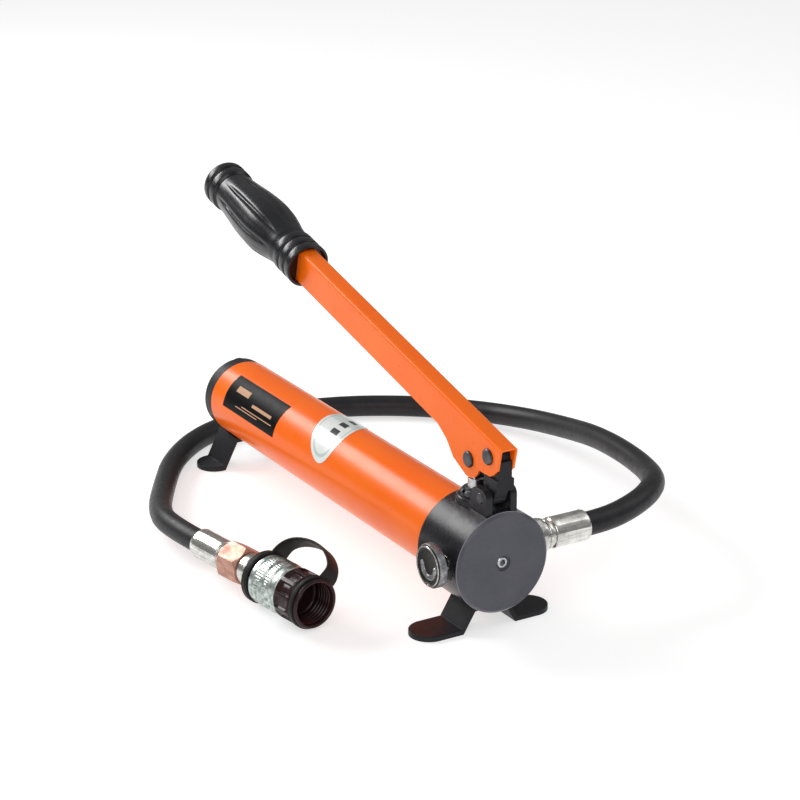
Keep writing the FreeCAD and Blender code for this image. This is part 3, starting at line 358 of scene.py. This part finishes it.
def hose_rubber():
    """A wrapped rubber cover: soft cloth marks and dusty patches."""
    material, tree, shader = new_material("hose_rubber", specular_ior_level=0.3)
    dusty = spread(tree, noise(tree, 0.018, detail=6.0, roughness=0.7), 0.0, 1.0)
    colour = blend_colours(tree, dusty, (0.009, 0.009, 0.011), (0.019, 0.0185, 0.021))
    tree.links.new(colour, shader.inputs["Base Color"])
    rough = spread(tree, noise(tree, 0.005, detail=5.0, seed=3.0), 0.36, 0.52)
    tree.links.new(rough, shader.inputs["Roughness"])
    cloth = noise(tree, 0.0006, detail=2.0, seed=1.0)
    creases = noise(tree, 0.006, detail=3.0, seed=6.0)
    add_bumps(tree, shader, [(creases, 0.00012), (cloth, 0.00003)])
    return material


def plated_metal(name, dark, light, streak_size, low_roughness, high_roughness, turn=(0.0, 0.0, 0.0),
                 edge_radius=0.0003):
    """Plated steel with tool marks that run one way, and patches where the plating is duller."""
    material, tree, shader = new_material(name, metallic=1.0)
    streaks = noise(tree, streak_size, turn, detail=5.0, roughness=0.65)
    patches = noise(tree, 0.006, detail=4.0, seed=4.0)
    mixed = calculate(tree, "MULTIPLY_ADD", patches, 0.45, calculate(tree, "MULTIPLY", streaks, 0.55))
    colour = blend_colours(tree, spread(tree, mixed, 0.0, 1.0, 0.38, 0.60), dark, light)
    tree.links.new(colour, shader.inputs["Base Color"])
    rough = spread(tree, mixed, high_roughness, low_roughness, 0.38, 0.62)
    tree.links.new(rough, shader.inputs["Roughness"])
    add_bumps(tree, shader, [(streaks, 0.00004)], edge_radius)
    return material


def sleeve_zinc():
    """Blotchy zinc plate: bright crests and dull blue-grey spangle."""
    material, tree, shader = new_material("sleeve_zinc", metallic=1.0)
    cells = tree.nodes.new("ShaderNodeTexVoronoi")
    cells.inputs["Scale"].default_value = 1.0
    tree.links.new(object_space(tree, (0.0032, 0.0032, 0.0032)), cells.inputs["Vector"])
    blotches = noise(tree, 0.0035, detail=5.0, roughness=0.7, seed=2.0)
    tone = calculate(tree, "MULTIPLY_ADD", cells.outputs["Distance"], 0.35, blotches)
    dullness = spread(tree, tone, 0.0, 1.0, 0.45, 0.85)
    colour = blend_colours(tree, dullness, (0.74, 0.78, 0.75), (0.24, 0.29, 0.27))
    tree.links.new(colour, shader.inputs["Base Color"])
    tree.links.new(spread(tree, blotches, 0.20, 0.48), shader.inputs["Roughness"])
    add_bumps(tree, shader, [(blotches, 0.00006)], 0.0002)
    return material


def any_bar(tree, bars):
    """1 inside any of the bars, each (socket, middle, half, socket, middle, half), and 0 elsewhere."""
    printed = None
    for across, across_middle, across_half, along, along_middle, along_half in bars:
        in_across = calculate(tree, "COMPARE", across, across_middle, across_half)
        in_along = calculate(tree, "COMPARE", along, along_middle, along_half)
        bar = calculate(tree, "MULTIPLY", in_across, in_along)
        printed = bar if printed is None else calculate(tree, "MAXIMUM", printed, bar)
    return printed


def tube_angle(tree):
    """(x, angle in degrees from the top of the tube towards -Y) as two sockets."""
    source = tree.nodes.new("ShaderNodeTexCoord")
    split = tree.nodes.new("ShaderNodeSeparateXYZ")
    tree.links.new(source.outputs["Object"], split.inputs["Vector"])
    sideways = calculate(tree, "MULTIPLY", split.outputs["Y"], -1.0)
    upwards = calculate(tree, "SUBTRACT", split.outputs["Z"], AXIS_HEIGHT)
    angle = calculate(tree, "ARCTAN2", sideways, upwards)
    return split.outputs["X"], calculate(tree, "MULTIPLY", angle, 180.0 / math.pi)


def maker_film():
    """Black film with plain copper bars, each (x from the middle, half, degrees round the tube, half)."""
    film = (0.004, 0.004, 0.005)
    copper = (0.60, 0.36, 0.22)
    bars = [(-0.018, 0.009, 45.0, 5.0), (0.014, 0.014, 56.0, 2.4),
            (0.010, 0.022, 66.0, 0.7), (-0.004, 0.016, 70.0, 0.7)]
    label_low, label_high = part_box("maker_label")
    middle = (label_low.x + label_high.x) / 2
    material, tree, shader = new_material("label_black", specular_ior_level=0.06)
    tint = spread(tree, noise(tree, 0.008, detail=3.0), 0.0, 1.0)
    base = blend_colours(tree, tint, film, tuple(0.9 * channel for channel in film))
    across, around = tube_angle(tree)
    printed = any_bar(tree, [(across, middle + x, x_half, around, degrees, degrees_half)
                             for x, x_half, degrees, degrees_half in bars])
    tree.links.new(blend_colours(tree, printed, base, copper), shader.inputs["Base Color"])
    tree.links.new(spread(tree, noise(tree, 0.004, seed=2.0), 0.30, 0.40), shader.inputs["Roughness"])
    add_bumps(tree, shader, [(noise(tree, 0.0015, detail=2.0), 0.00001)])
    return material


def rating_film():
    """White film with a grey-green band and border round three plain dark bars."""
    material, tree, shader = new_material("label_white", coat_weight=0.3, coat_roughness=0.08)
    across, around = tube_angle(tree)
    arc = calculate(tree, "MULTIPLY", around, math.radians(LABEL_RADIUS))
    rise = calculate(tree, "SUBTRACT", arc, RATING_ARC)
    from_middle = calculate(tree, "SUBTRACT", across, RATING_X)
    slant = calculate(tree, "MULTIPLY_ADD", rise, -RATING_SHEAR, from_middle)
    wide = calculate(tree, "DIVIDE", slant, RATING_HALF_WIDTH)
    tall = calculate(tree, "DIVIDE", rise, RATING_HALF_HEIGHT)
    wide_squared = calculate(tree, "POWER", wide, 2.0)
    tall_squared = calculate(tree, "POWER", tall, 2.0)
    reach = calculate(tree, "SQRT", calculate(tree, "ADD", wide_squared, tall_squared))
    tint = spread(tree, noise(tree, 0.008, detail=3.0), 0.0, 1.0)
    base = blend_colours(tree, tint, (0.84, 0.87, 0.84), (0.76, 0.80, 0.77))
    band_start = -0.15
    shade = calculate(tree, "MULTIPLY", calculate(tree, "LESS_THAN", tall, band_start), 0.45)
    base = blend_colours(tree, shade, base, (0.42, 0.50, 0.47))
    border_middle = 0.84
    border_half = 0.035
    border = calculate(tree, "COMPARE", reach, border_middle, border_half)
    base = blend_colours(tree, calculate(tree, "MULTIPLY", border, 0.6), base, (0.30, 0.50, 0.44))
    first_bar = -0.013
    bar_spacing = 0.009
    bars = any_bar(tree, [(slant, 0.004, 0.0045, rise, first_bar + bar_spacing * step, 0.0024)
                          for step in range(3)])
    tree.links.new(blend_colours(tree, bars, base, (0.02, 0.02, 0.025)), shader.inputs["Base Color"])
    tree.links.new(spread(tree, noise(tree, 0.004, seed=2.0), 0.28, 0.38), shader.inputs["Roughness"])
    add_bumps(tree, shader, [(noise(tree, 0.0015, detail=2.0), 0.00001)])
    return material


def make_materials():
    """A material for each slot of the record, and a few more for pieces that need their own."""
    coupler_turn = (0.0, 0.0, COUPLER_TURN)
    return {
        "orange_paint": orange_paint(),
        "head_paint": head_paint(),
        "black_paint": dark_paint("black_paint", (0.010, 0.010, 0.012), (0.019, 0.019, 0.023),
                                  0.40, 0.54, 0.0006),
        "black_plastic": moulded_plastic("black_plastic", (0.012, 0.012, 0.014), (0.022, 0.023, 0.025),
                                         0.38, 0.55, 0.00006, 0.0008),
        "knob_plastic": moulded_plastic("knob_plastic", (0.012, 0.013, 0.012), (0.024, 0.025, 0.024),
                                        0.30, 0.45, 0.00005),
        "cap_plastic": moulded_plastic("cap_plastic", (0.016, 0.0055, 0.006), (0.034, 0.011, 0.012),
                                       0.16, 0.28, 0.00002),
        "seal_rubber": moulded_plastic("seal_rubber", (0.008, 0.008, 0.009), (0.014, 0.014, 0.015),
                                       0.40, 0.55, 0.00003),
        "tether_rubber": moulded_plastic("tether_rubber", (0.008, 0.008, 0.008), (0.016, 0.016, 0.015),
                                         0.45, 0.62, 0.00006),
        "grip_rubber": grip_rubber(),
        "hose_rubber": hose_rubber(),
        "bright_steel": plated_metal("bright_steel", (0.34, 0.35, 0.37), (0.66, 0.66, 0.67),
                                     (0.002, 0.002, 0.0003), 0.14, 0.28),
        "sleeve_zinc": sleeve_zinc(),
        "knob_rim": plated_metal("knob_rim", (0.10, 0.10, 0.11), (0.42, 0.42, 0.43), 0.0011, 0.35, 0.55),
        "dark_steel": plated_metal("dark_steel", (0.055, 0.055, 0.062), (0.12, 0.12, 0.13),
                                   0.003, 0.30, 0.45),
        "zinc": plated_metal("zinc", (0.34, 0.34, 0.315), (0.86, 0.85, 0.81),
                             (0.03, 0.0007, 0.0007), 0.16, 0.34, coupler_turn),
        "copper_plate": plated_metal("copper_plate", (0.42, 0.215, 0.165), (0.60, 0.355, 0.285),
                                     (0.012, 0.004, 0.004), 0.40, 0.55, coupler_turn, 0.0006),
        # A zinc copy for the port ferrule: its streaks run along Y, and its lighter colour is a painted
        # reflection.
        "port_zinc": plated_metal("port_zinc", (0.42, 0.42, 0.39), (0.90, 0.89, 0.85),
                                  (0.0009, 0.03, 0.0009), 0.18, 0.32),
        "brass_pipe": plated_metal("brass_pipe", (0.55, 0.38, 0.14), (0.78, 0.60, 0.28),
                                   (0.02, 0.001, 0.001), 0.20, 0.35),
        "label_black": maker_film(),
        "label_white": rating_film(),
    }


def paint_cad_nodes(materials):
    """Each carried-over CAD node gets the material of its slot."""
    for part in frame["record"]["subparts"]:
        for material_slot in frame["nodes"][part["node"]].material_slots:
            material_slot.material = materials[part["material_slot"]]


# --- shape helpers -----------------------------------------------------------------------------

def finish_piece(mesh, name, material):
    """Turns a bmesh into a smooth-shaded object whose edges steeper than SHARP_ANGLE stay crisp."""
    bmesh.ops.remove_doubles(mesh, verts=mesh.verts, dist=WELD)
    bmesh.ops.dissolve_degenerate(mesh, edges=mesh.edges, dist=WELD)
    bmesh.ops.recalc_face_normals(mesh, faces=mesh.faces)
    data = bpy.data.meshes.new(name)
    mesh.to_mesh(data)
    mesh.free()
    data.shade_smooth()
    data.set_sharp_from_angle(angle=SHARP_ANGLE)
    data.materials.append(material)
    piece = bpy.data.objects.new(name, data)
    bpy.context.scene.collection.objects.link(piece)
    return piece


def rounded(profile, radius, steps=2):
    """The profile with each corner replaced by a curve that starts and ends at most radius from it."""
    points = [Vector(point) for point in profile]
    result = [points[0]]
    for before, corner, after in zip(points, points[1:], points[2:]):
        reach = min(radius, 0.45 * (before - corner).length, 0.45 * (after - corner).length)
        enter = corner + (before - corner).normalized() * reach
        leave = corner + (after - corner).normalized() * reach
        for step in range(steps + 1):
            share = step / steps
            result.append(enter.lerp(corner, share).lerp(corner.lerp(leave, share), share))
    return result + [points[-1]]


def divided(profile, longest):
    """The profile with extra points so that no run is longer than longest."""
    result = [Vector(profile[0])]
    for near, far in zip(profile, profile[1:]):
        near, far = Vector(near), Vector(far)
        count = max(1, math.ceil((far - near).length / longest))
        result += [near.lerp(far, step / count) for step in range(1, count + 1)]
    return result


def add_lathe(mesh, profile, place, segments, shape=None, closed=False):
    """Turns (distance, radius) points in mm about local X; shape(distance, angle, radius) may move them."""
    rings = []
    for distance, radius in profile:
        ring = []
        for step in range(segments):
            angle = 2 * math.pi * step / segments
            reach = shape(distance, angle, radius) if shape else radius
            point = Vector((distance, reach * math.cos(angle), reach * math.sin(angle)))
            ring.append(mesh.verts.new(place @ (point * MM)))
        rings.append(ring)
    skin_rings(mesh, rings, closed)


def skin_rings(mesh, rings, closed=False):
    """Side faces between rings of vertices; the last ring joins the first one, or each end gets a face."""
    pairs = list(zip(rings, rings[1:]))
    if closed:
        pairs.append((rings[-1], rings[0]))
    for near, far in pairs:
        for step in range(len(near)):
            after = (step + 1) % len(near)
            mesh.faces.new((near[step], near[after], far[after], far[step]))
    if not closed:
        mesh.faces.new(rings[0])
        mesh.faces.new(rings[-1])


def lathe(name, profile, place, material, segments=96, shape=None, closed=False):
    mesh = bmesh.new()
    add_lathe(mesh, profile, place, segments, shape, closed)
    return finish_piece(mesh, name, material)


def spline_points(controls):
    """Points along the NURBS spline with these control points."""
    data = bpy.data.curves.new("route", "CURVE")
    data.dimensions = "3D"
    add_spline(data, controls)
    curve = bpy.data.objects.new("route", data)
    bpy.context.scene.collection.objects.link(curve)
    line = bpy.data.meshes.new_from_object(curve)
    points = [vertex.co.copy() for vertex in line.vertices]
    bpy.data.objects.remove(curve)
    bpy.data.curves.remove(data)
    bpy.data.meshes.remove(line)
    return points


def add_spline(data, controls):
    spline = data.splines.new("NURBS")
    spline.points.add(len(controls) - 1)
    for point, control in zip(spline.points, controls):
        point.co = (*control, 1.0)
    spline.order_u = 3
    spline.use_endpoint_u = True
    spline.resolution_u = 12


def smooth_step(low, high, value):
    share = min(max((value - low) / (high - low), 0.0), 1.0)
    return share * share * (3 - 2 * share)


# --- the hose ----------------------------------------------------------------------------------

def hose_route():
    """Control points of the hose's middle line, from the port ferrule to the end ferrule."""
    heading = Vector((math.cos(COUPLER_TURN), math.sin(COUPLER_TURN), 0))
    resting = HOSE_DIAMETER / 2 + 0.0003
    behind_face = [
        (-0.0250, 0.0780, AXIS_HEIGHT), (-0.0250, 0.0940, AXIS_HEIGHT), (-0.0290, 0.1155, 0.0518),
        (-0.0400, 0.1385, 0.0528), (-0.0585, 0.1580, 0.0513), (-0.0880, 0.1735, 0.0465),
        (-0.1290, 0.1845, 0.0430), (-0.1780, 0.1945, 0.0365), (-0.2300, 0.2035, 0.0247),
        (-0.2830, 0.2045, 0.0145), (-0.3305, 0.1860, 0.0092), (-0.3690, 0.1470, resting),
        (-0.3945, 0.0980, resting), (-0.4035, 0.0440, resting), (-0.3940, -0.0080, resting),
        (-0.3590, -0.0520, resting), (-0.3080, -0.0850, 0.0086), (-0.2620, -0.1100, 0.0145),
    ]
    return [Vector((FACE + x, y, z)) for x, y, z in behind_face] + [HOSE_END - heading * LAST_RUN, HOSE_END]


def make_hose(materials):
    data = bpy.data.curves.new("hose_line", "CURVE")
    data.dimensions = "3D"
    data.bevel_depth = HOSE_DIAMETER / 2
    data.bevel_resolution = 8
    data.use_fill_caps = True
    route = hose_route()
    add_spline(data, route)
    data.materials.append(materials["hose_rubber"])
    hose = bpy.data.objects.new("hose_line", data)
    bpy.context.scene.collection.objects.link(hose)
    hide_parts("hose")
    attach(hose, "pump")


# --- pieces that replace plain CAD nodes -------------------------------------------------------

def stand_for(piece, node):
    """The piece takes the place of a CAD node and rides on its body."""
    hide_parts(node)
    join(piece, node)


def join(piece, node):
    """The piece rides with a CAD node's body."""
    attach(piece, BODY_OF[node])


def grip_profile():
    """(distance from the grip's mouth, radius): a dished mouth, rings, the barrel and a flanged end."""
    profile = [(4.0, 0), (4.0, 13.1), (0.5, 13.5), (0, 14.0), (0, 15.1)]
    ring_spacing = 8.0
    for step in range(3):
        near = ring_spacing * step
        profile += [(near + 0.5, 15.7), (near + 6.0, 15.7), (near + 6.5, 14.3), (near + 7.8, 14.3)]
    profile += [(26.0, 14.6)]
    start, widest, end = 28.0, 60.0, 110.0
    neck_radius = 15.0
    swell = 4.5
    steps = 28
    for step in range(steps + 1):
        along = start + (end - start) * step / steps
        share = (along - start) / (widest - start) if along < widest else (end - along) / (end - widest)
        profile.append((along, neck_radius + swell * math.sin(math.pi / 2 * share) ** 1.4))
    return profile + [
        (111.0, 14.5), (112.2, 16.3), (117.8, 16.5), (118.6, 14.9), (120.4, 14.9), (121.2, 16.5),
        (125.4, 16.4), (126.8, 15.8), (128.6, 14.0), (129.4, 12.0), (130.2, 8.0), (130.6, 0),
    ]


def grip_flutes(distance, angle, radius):
    """Eight narrow tapered grooves along the barrel."""
    count = 8
    spacing = 2 * math.pi / count
    first = math.radians(-40)
    groove_depth = 1.25
    flat_depth = 0.35
    offset = (angle - first + spacing / 2) % spacing - spacing / 2
    strength = smooth_step(29, 46, distance) * smooth_step(109, 88, distance)
    width = 0.045 + 0.030 * strength
    groove = groove_depth * strength * math.exp(-(offset / width) ** 2)
    flat = flat_depth * strength * (1 - math.cos(math.pi * offset / spacing))
    return radius - groove - flat


def make_grip(materials):
    place = LEVER @ Matrix.Translation((GRIP_START, 0, 0))
    piece = lathe("grip_moulding", rounded(grip_profile(), 0.5), place, materials["grip_rubber"],
                  segments=176, shape=grip_flutes)
    stand_for(piece, "grip")


def knurl(distance, angle, radius):
    """Straight knurling on the sleeve's two gripping bands, fading out at each end."""
    ridges = 56
    depth = 0.32
    run_out = 0.8
    for low, high in ((80.7, 87.4), (90.0, 94.6)):
        if low < distance < high:
            ends = smooth_step(low, low + run_out, distance) * smooth_step(high, high - run_out, distance)
            return radius - depth * ends * (0.5 + 0.5 * math.cos(ridges * angle))
    return radius


def make_sleeve(materials):
    bands = [
        (74.4, 10.3), (74.4, 15.2), (75.4, 16.4), (79.2, 16.4), (79.9, 15.5), (80.7, 16.9), (87.4, 16.9),
        (88.2, 15.5), (89.2, 15.5), (90.0, 16.9), (94.6, 16.9), (95.4, 15.6), (96.6, 16.5), (101.0, 16.5),
        (102.0, 15.4), (102.0, 13.2), (80.2, 13.2), (80.2, 12.9), (75.2, 12.9), (75.2, 10.3),
    ]
    profile = divided(rounded(bands, 0.3), 1.6)
    piece = lathe("knurled_sleeve", profile, COUPLER, materials["sleeve_zinc"], segments=336, shape=knurl,
                  closed=True)
    stand_for(piece, "coupler_sleeve")


def cap_pockets(distance, angle, radius):
    """Ten rectangular pockets between narrow ribs round the dust cap."""
    count = 10
    depth = 1.5
    inside_radius = 15.0
    spacing = 2 * math.pi / count
    low, high = 103.6, 116.8
    run_out = 1.0
    if radius < inside_radius:
        return radius
    offset = abs((angle + spacing / 2) % spacing - spacing / 2) / spacing
    across = smooth_step(0.36, 0.30, offset)
    along = smooth_step(low, low + run_out, distance) * smooth_step(high, high - run_out, distance)
    return radius - depth * across * along


def make_dust_cap(materials):
    """The cap on the coupler's mouth; five rings in the recess of its outer end stand for a thread."""
    outside = [
        (98.0, 0), (90.3, 0), (90.3, 12.4), (90.3, 13.0), (102.1, 13.0), (102.2, 16.2), (103.0, 17.0),
        (117.4, 17.0), (118.3, 16.3), (118.5, 15.3), (122.7, 15.3), (122.8, 16.0), (123.4, 16.4),
        (124.2, 16.4), (124.9, 15.8), (124.9, 14.5), (124.0, 14.0),
    ]
    thread = []
    first_ring = 121.6
    pitch = 2.6
    for turn in range(5):
        near = first_ring - pitch * turn
        thread += [(near, 13.9), (near - 0.5, 13.2), (near - 1.1, 13.2), (near - 1.6, 13.9)]
    inside = [(107.6, 13.9), (106.6, 13.0), (106.2, 11.0), (106.0, 4.0), (105.6, 2.4), (104.8, 1.6),
              (104.8, 0)]
    profile = divided(rounded(outside + thread + inside, 0.35), 2.4)
    piece = lathe("ribbed_dust_cap", profile, COUPLER, materials["cap_plastic"], segments=240,
                  shape=cap_pockets)
    stand_for(piece, "dust_cap")


def strap_route():
    """The arch of the cap's strap, in the plane through the coupler's axis that leans to the far side."""
    lean = Vector((0, math.sin(STRAP_LEAN), math.cos(STRAP_LEAN)))
    arch = [(71.0, 14.0), (70.2, 21.5), (76.5, 29.5), (91.0, 34.0), (106.0, 33.5), (117.5, 28.0),
            (122.0, 21.5), (121.0, 16.2)]
    return [(Vector((along, 0, 0)) + lean * rise) * MM for along, rise in arch]


def add_strap(mesh, place):
    """A flat strap with rounded edges, a little wider where it meets its rings."""
    line = spline_points(strap_route())
    across = Vector((0, math.cos(STRAP_LEAN), -math.sin(STRAP_LEAN)))
    half_thick = 0.95 * MM
    corners = 20
    rings = []
    for index, point in enumerate(line):
        before = line[max(index - 1, 0)]
        after = line[min(index + 1, len(line) - 1)]
        outward = across.cross(after - before).normalized()
        share = index / (len(line) - 1)
        flare = 1.0 - smooth_step(0.0, 0.18, share) * smooth_step(1.0, 0.82, share)
        half_width = (6.0 + 1.2 * flare) * MM
        ring = []
        for corner in range(corners):
            angle = 2 * math.pi * corner / corners
            wide = math.copysign(abs(math.cos(angle)) ** 0.35, math.cos(angle)) * half_width
            thick = math.copysign(abs(math.sin(angle)) ** 0.7, math.sin(angle)) * half_thick
            ring.append(mesh.verts.new(place @ (point + across * wide + outward * thick)))
        rings.append(ring)
    skin_rings(mesh, rings)


def make_tether(materials):
    mesh = bmesh.new()
    rear = [(68.5, 10.8), (68.4, 16.5), (69.4, 17.5), (72.6, 17.5), (73.6, 16.5), (73.5, 10.8)]
    front = [(118.9, 15.4), (118.9, 16.9), (119.6, 17.5), (121.7, 17.5), (122.4, 16.9), (122.4, 15.4)]
    for ring in (rear, front):
        add_lathe(mesh, ring, COUPLER, 96, closed=True)
    add_strap(mesh, COUPLER)
    piece = finish_piece(mesh, "cap_strap", materials["tether_rubber"])
    stand_for(piece, "cap_tether")


def crimp_flats(low, high):
    """Twelve soft flats that the crimping jaws press between two distances."""
    spacing = 2 * math.pi / 12
    run_out = 1.5
    flat_share = 0.55

    def shape(distance, angle, radius):
        offset = (angle + spacing / 2) % spacing - spacing / 2
        flat = math.cos(spacing / 2) / math.cos(offset)
        pressed = smooth_step(low, low + run_out, distance) * smooth_step(high, high - run_out, distance)
        return radius * (1 + flat_share * pressed * (flat - 1))

    return shape


def make_ferrule(name, node, place, length, material):
    """A crimped hose ferrule; local x runs from its collar to the hose."""
    profile = [
        (0, 0), (0, 9.0), (0.5, 9.9), (2.8, 9.9), (3.2, 8.9), (4.2, 8.9), (4.7, 9.9), (5.4, 10.3),
        (length - 2.4, 10.3), (length - 0.9, 9.9), (length - 0.2, 8.9), (length - 0.2, 0),
    ]
    piece = lathe(name, divided(rounded(profile, 0.3), 2.5), place, material, segments=144,
                  shape=crimp_flats(6.0, length - 4.0))
    stand_for(piece, node)


def make_ferrules(materials):
    port_length = 32.0
    ferrule_start = 13.5
    port_place = PORT @ Matrix.Translation((PORT_FACE + ferrule_start * MM, 0, 0))
    make_ferrule("port_crimp", "port_ferrule", port_place, port_length, materials["port_zinc"])
    end_length = 34.0
    end_place = COUPLER @ Matrix.Translation((end_length * MM, 0, 0)) @ Matrix.Rotation(math.pi, 4, "Z")
    make_ferrule("end_crimp", "end_ferrule", end_place, end_length, materials["zinc"])


def make_knob(materials):
    """The release knob: a dark dished face in a speckled rim, a bright ring and a raised finger rib."""
    body = [
        (35.2, 0), (35.2, 7.4), (38.2, 7.5), (38.4, 12.4), (39.2, 13.6), (44.4, 13.7), (45.2, 13.2),
        (45.2, 11.9), (44.2, 11.2), (44.0, 0),
    ]
    knob = lathe("knob_moulding", rounded(body, 0.4), KNOB, materials["knob_plastic"])
    stand_for(knob, "release_knob")
    rim = [(39.2, 13.4), (39.2, 13.9), (39.7, 14.2), (43.8, 14.2), (44.3, 13.9), (44.3, 13.4)]
    speckled = lathe("knob_rim", rim, KNOB, materials["knob_rim"], closed=True)
    join(speckled, "release_spindle")
    bright = [(44.8, 12.1), (45.4, 12.2), (45.5, 12.5), (45.5, 12.9), (45.3, 13.1), (44.8, 13.1)]
    ring = lathe("knob_ring", bright, KNOB, materials["zinc"], closed=True)
    join(ring, "release_spindle")
    mesh = bmesh.new()
    add_rib(mesh)
    rib = finish_piece(mesh, "knob_rib", materials["knob_rim"])
    join(rib, "release_spindle")


def add_rib(mesh):
    """A half-round rib bent into a U round the lower part of the knob's face."""
    face = 44.0
    radius = 7.4
    half_width = 1.9
    height = 1.4
    steps = 36
    corners = 10
    past_half = math.radians(14)
    rings = []
    for step in range(steps + 1):
        share = step / steps
        turn = math.pi - past_half + (math.pi + 2 * past_half) * share
        size = math.sqrt(max(1 - (2 * share - 1) ** 24, 0.02))
        outward = Vector((0, math.cos(turn), math.sin(turn)))
        ring = []
        for corner in range(corners):
            angle = math.pi * corner / (corners - 1)
            reach = radius + half_width * size * math.cos(angle)
            rise = face + height * size * math.sin(angle)
            ring.append(mesh.verts.new(KNOB @ ((outward * reach + Vector((rise, 0, 0))) * MM)))
        rings.append(ring)
    skin_rings(mesh, rings)


def make_rating_film(materials):
    """The white sticker, a leaning ellipse wrapped round the reservoir."""
    mesh = bmesh.new()
    steps = 72
    ring_count = 8
    rings = []
    outside = [(ring / ring_count, 0.0) for ring in range(ring_count + 1)]
    underside = [(share, -LABEL_THICKNESS) for share, _ in reversed(outside)]
    for share, lift in outside + underside:
        ring = []
        for step in range(steps):
            turn = 2 * math.pi * step / steps
            rise = RATING_HALF_HEIGHT * share * math.sin(turn)
            across = RATING_X + RATING_SHEAR * rise + RATING_HALF_WIDTH * share * math.cos(turn)
            ring.append(mesh.verts.new(on_tube(across, RATING_ARC + rise, lift)))
        rings.append(ring)
    skin_rings(mesh, rings)
    piece = finish_piece(mesh, "rating_film", materials["label_white"])
    stand_for(piece, "rating_label")


def on_tube(across, arc, lift):
    """The point at this x and this arc from the top of the reservoir towards -Y."""
    radius = LABEL_RADIUS + lift
    angle = arc / LABEL_RADIUS
    return Vector((across, -radius * math.sin(angle), AXIS_HEIGHT + radius * math.cos(angle)))


add_camera()
add_studio()
materials = make_materials()
paint_cad_nodes(materials)
make_grip(materials)
make_sleeve(materials)
make_dust_cap(materials)
make_tether(materials)
make_ferrules(materials)
make_knob(materials)
make_rating_film(materials)
make_hose(materials)
bpy.context.scene.view_settings.view_transform = "Standard"
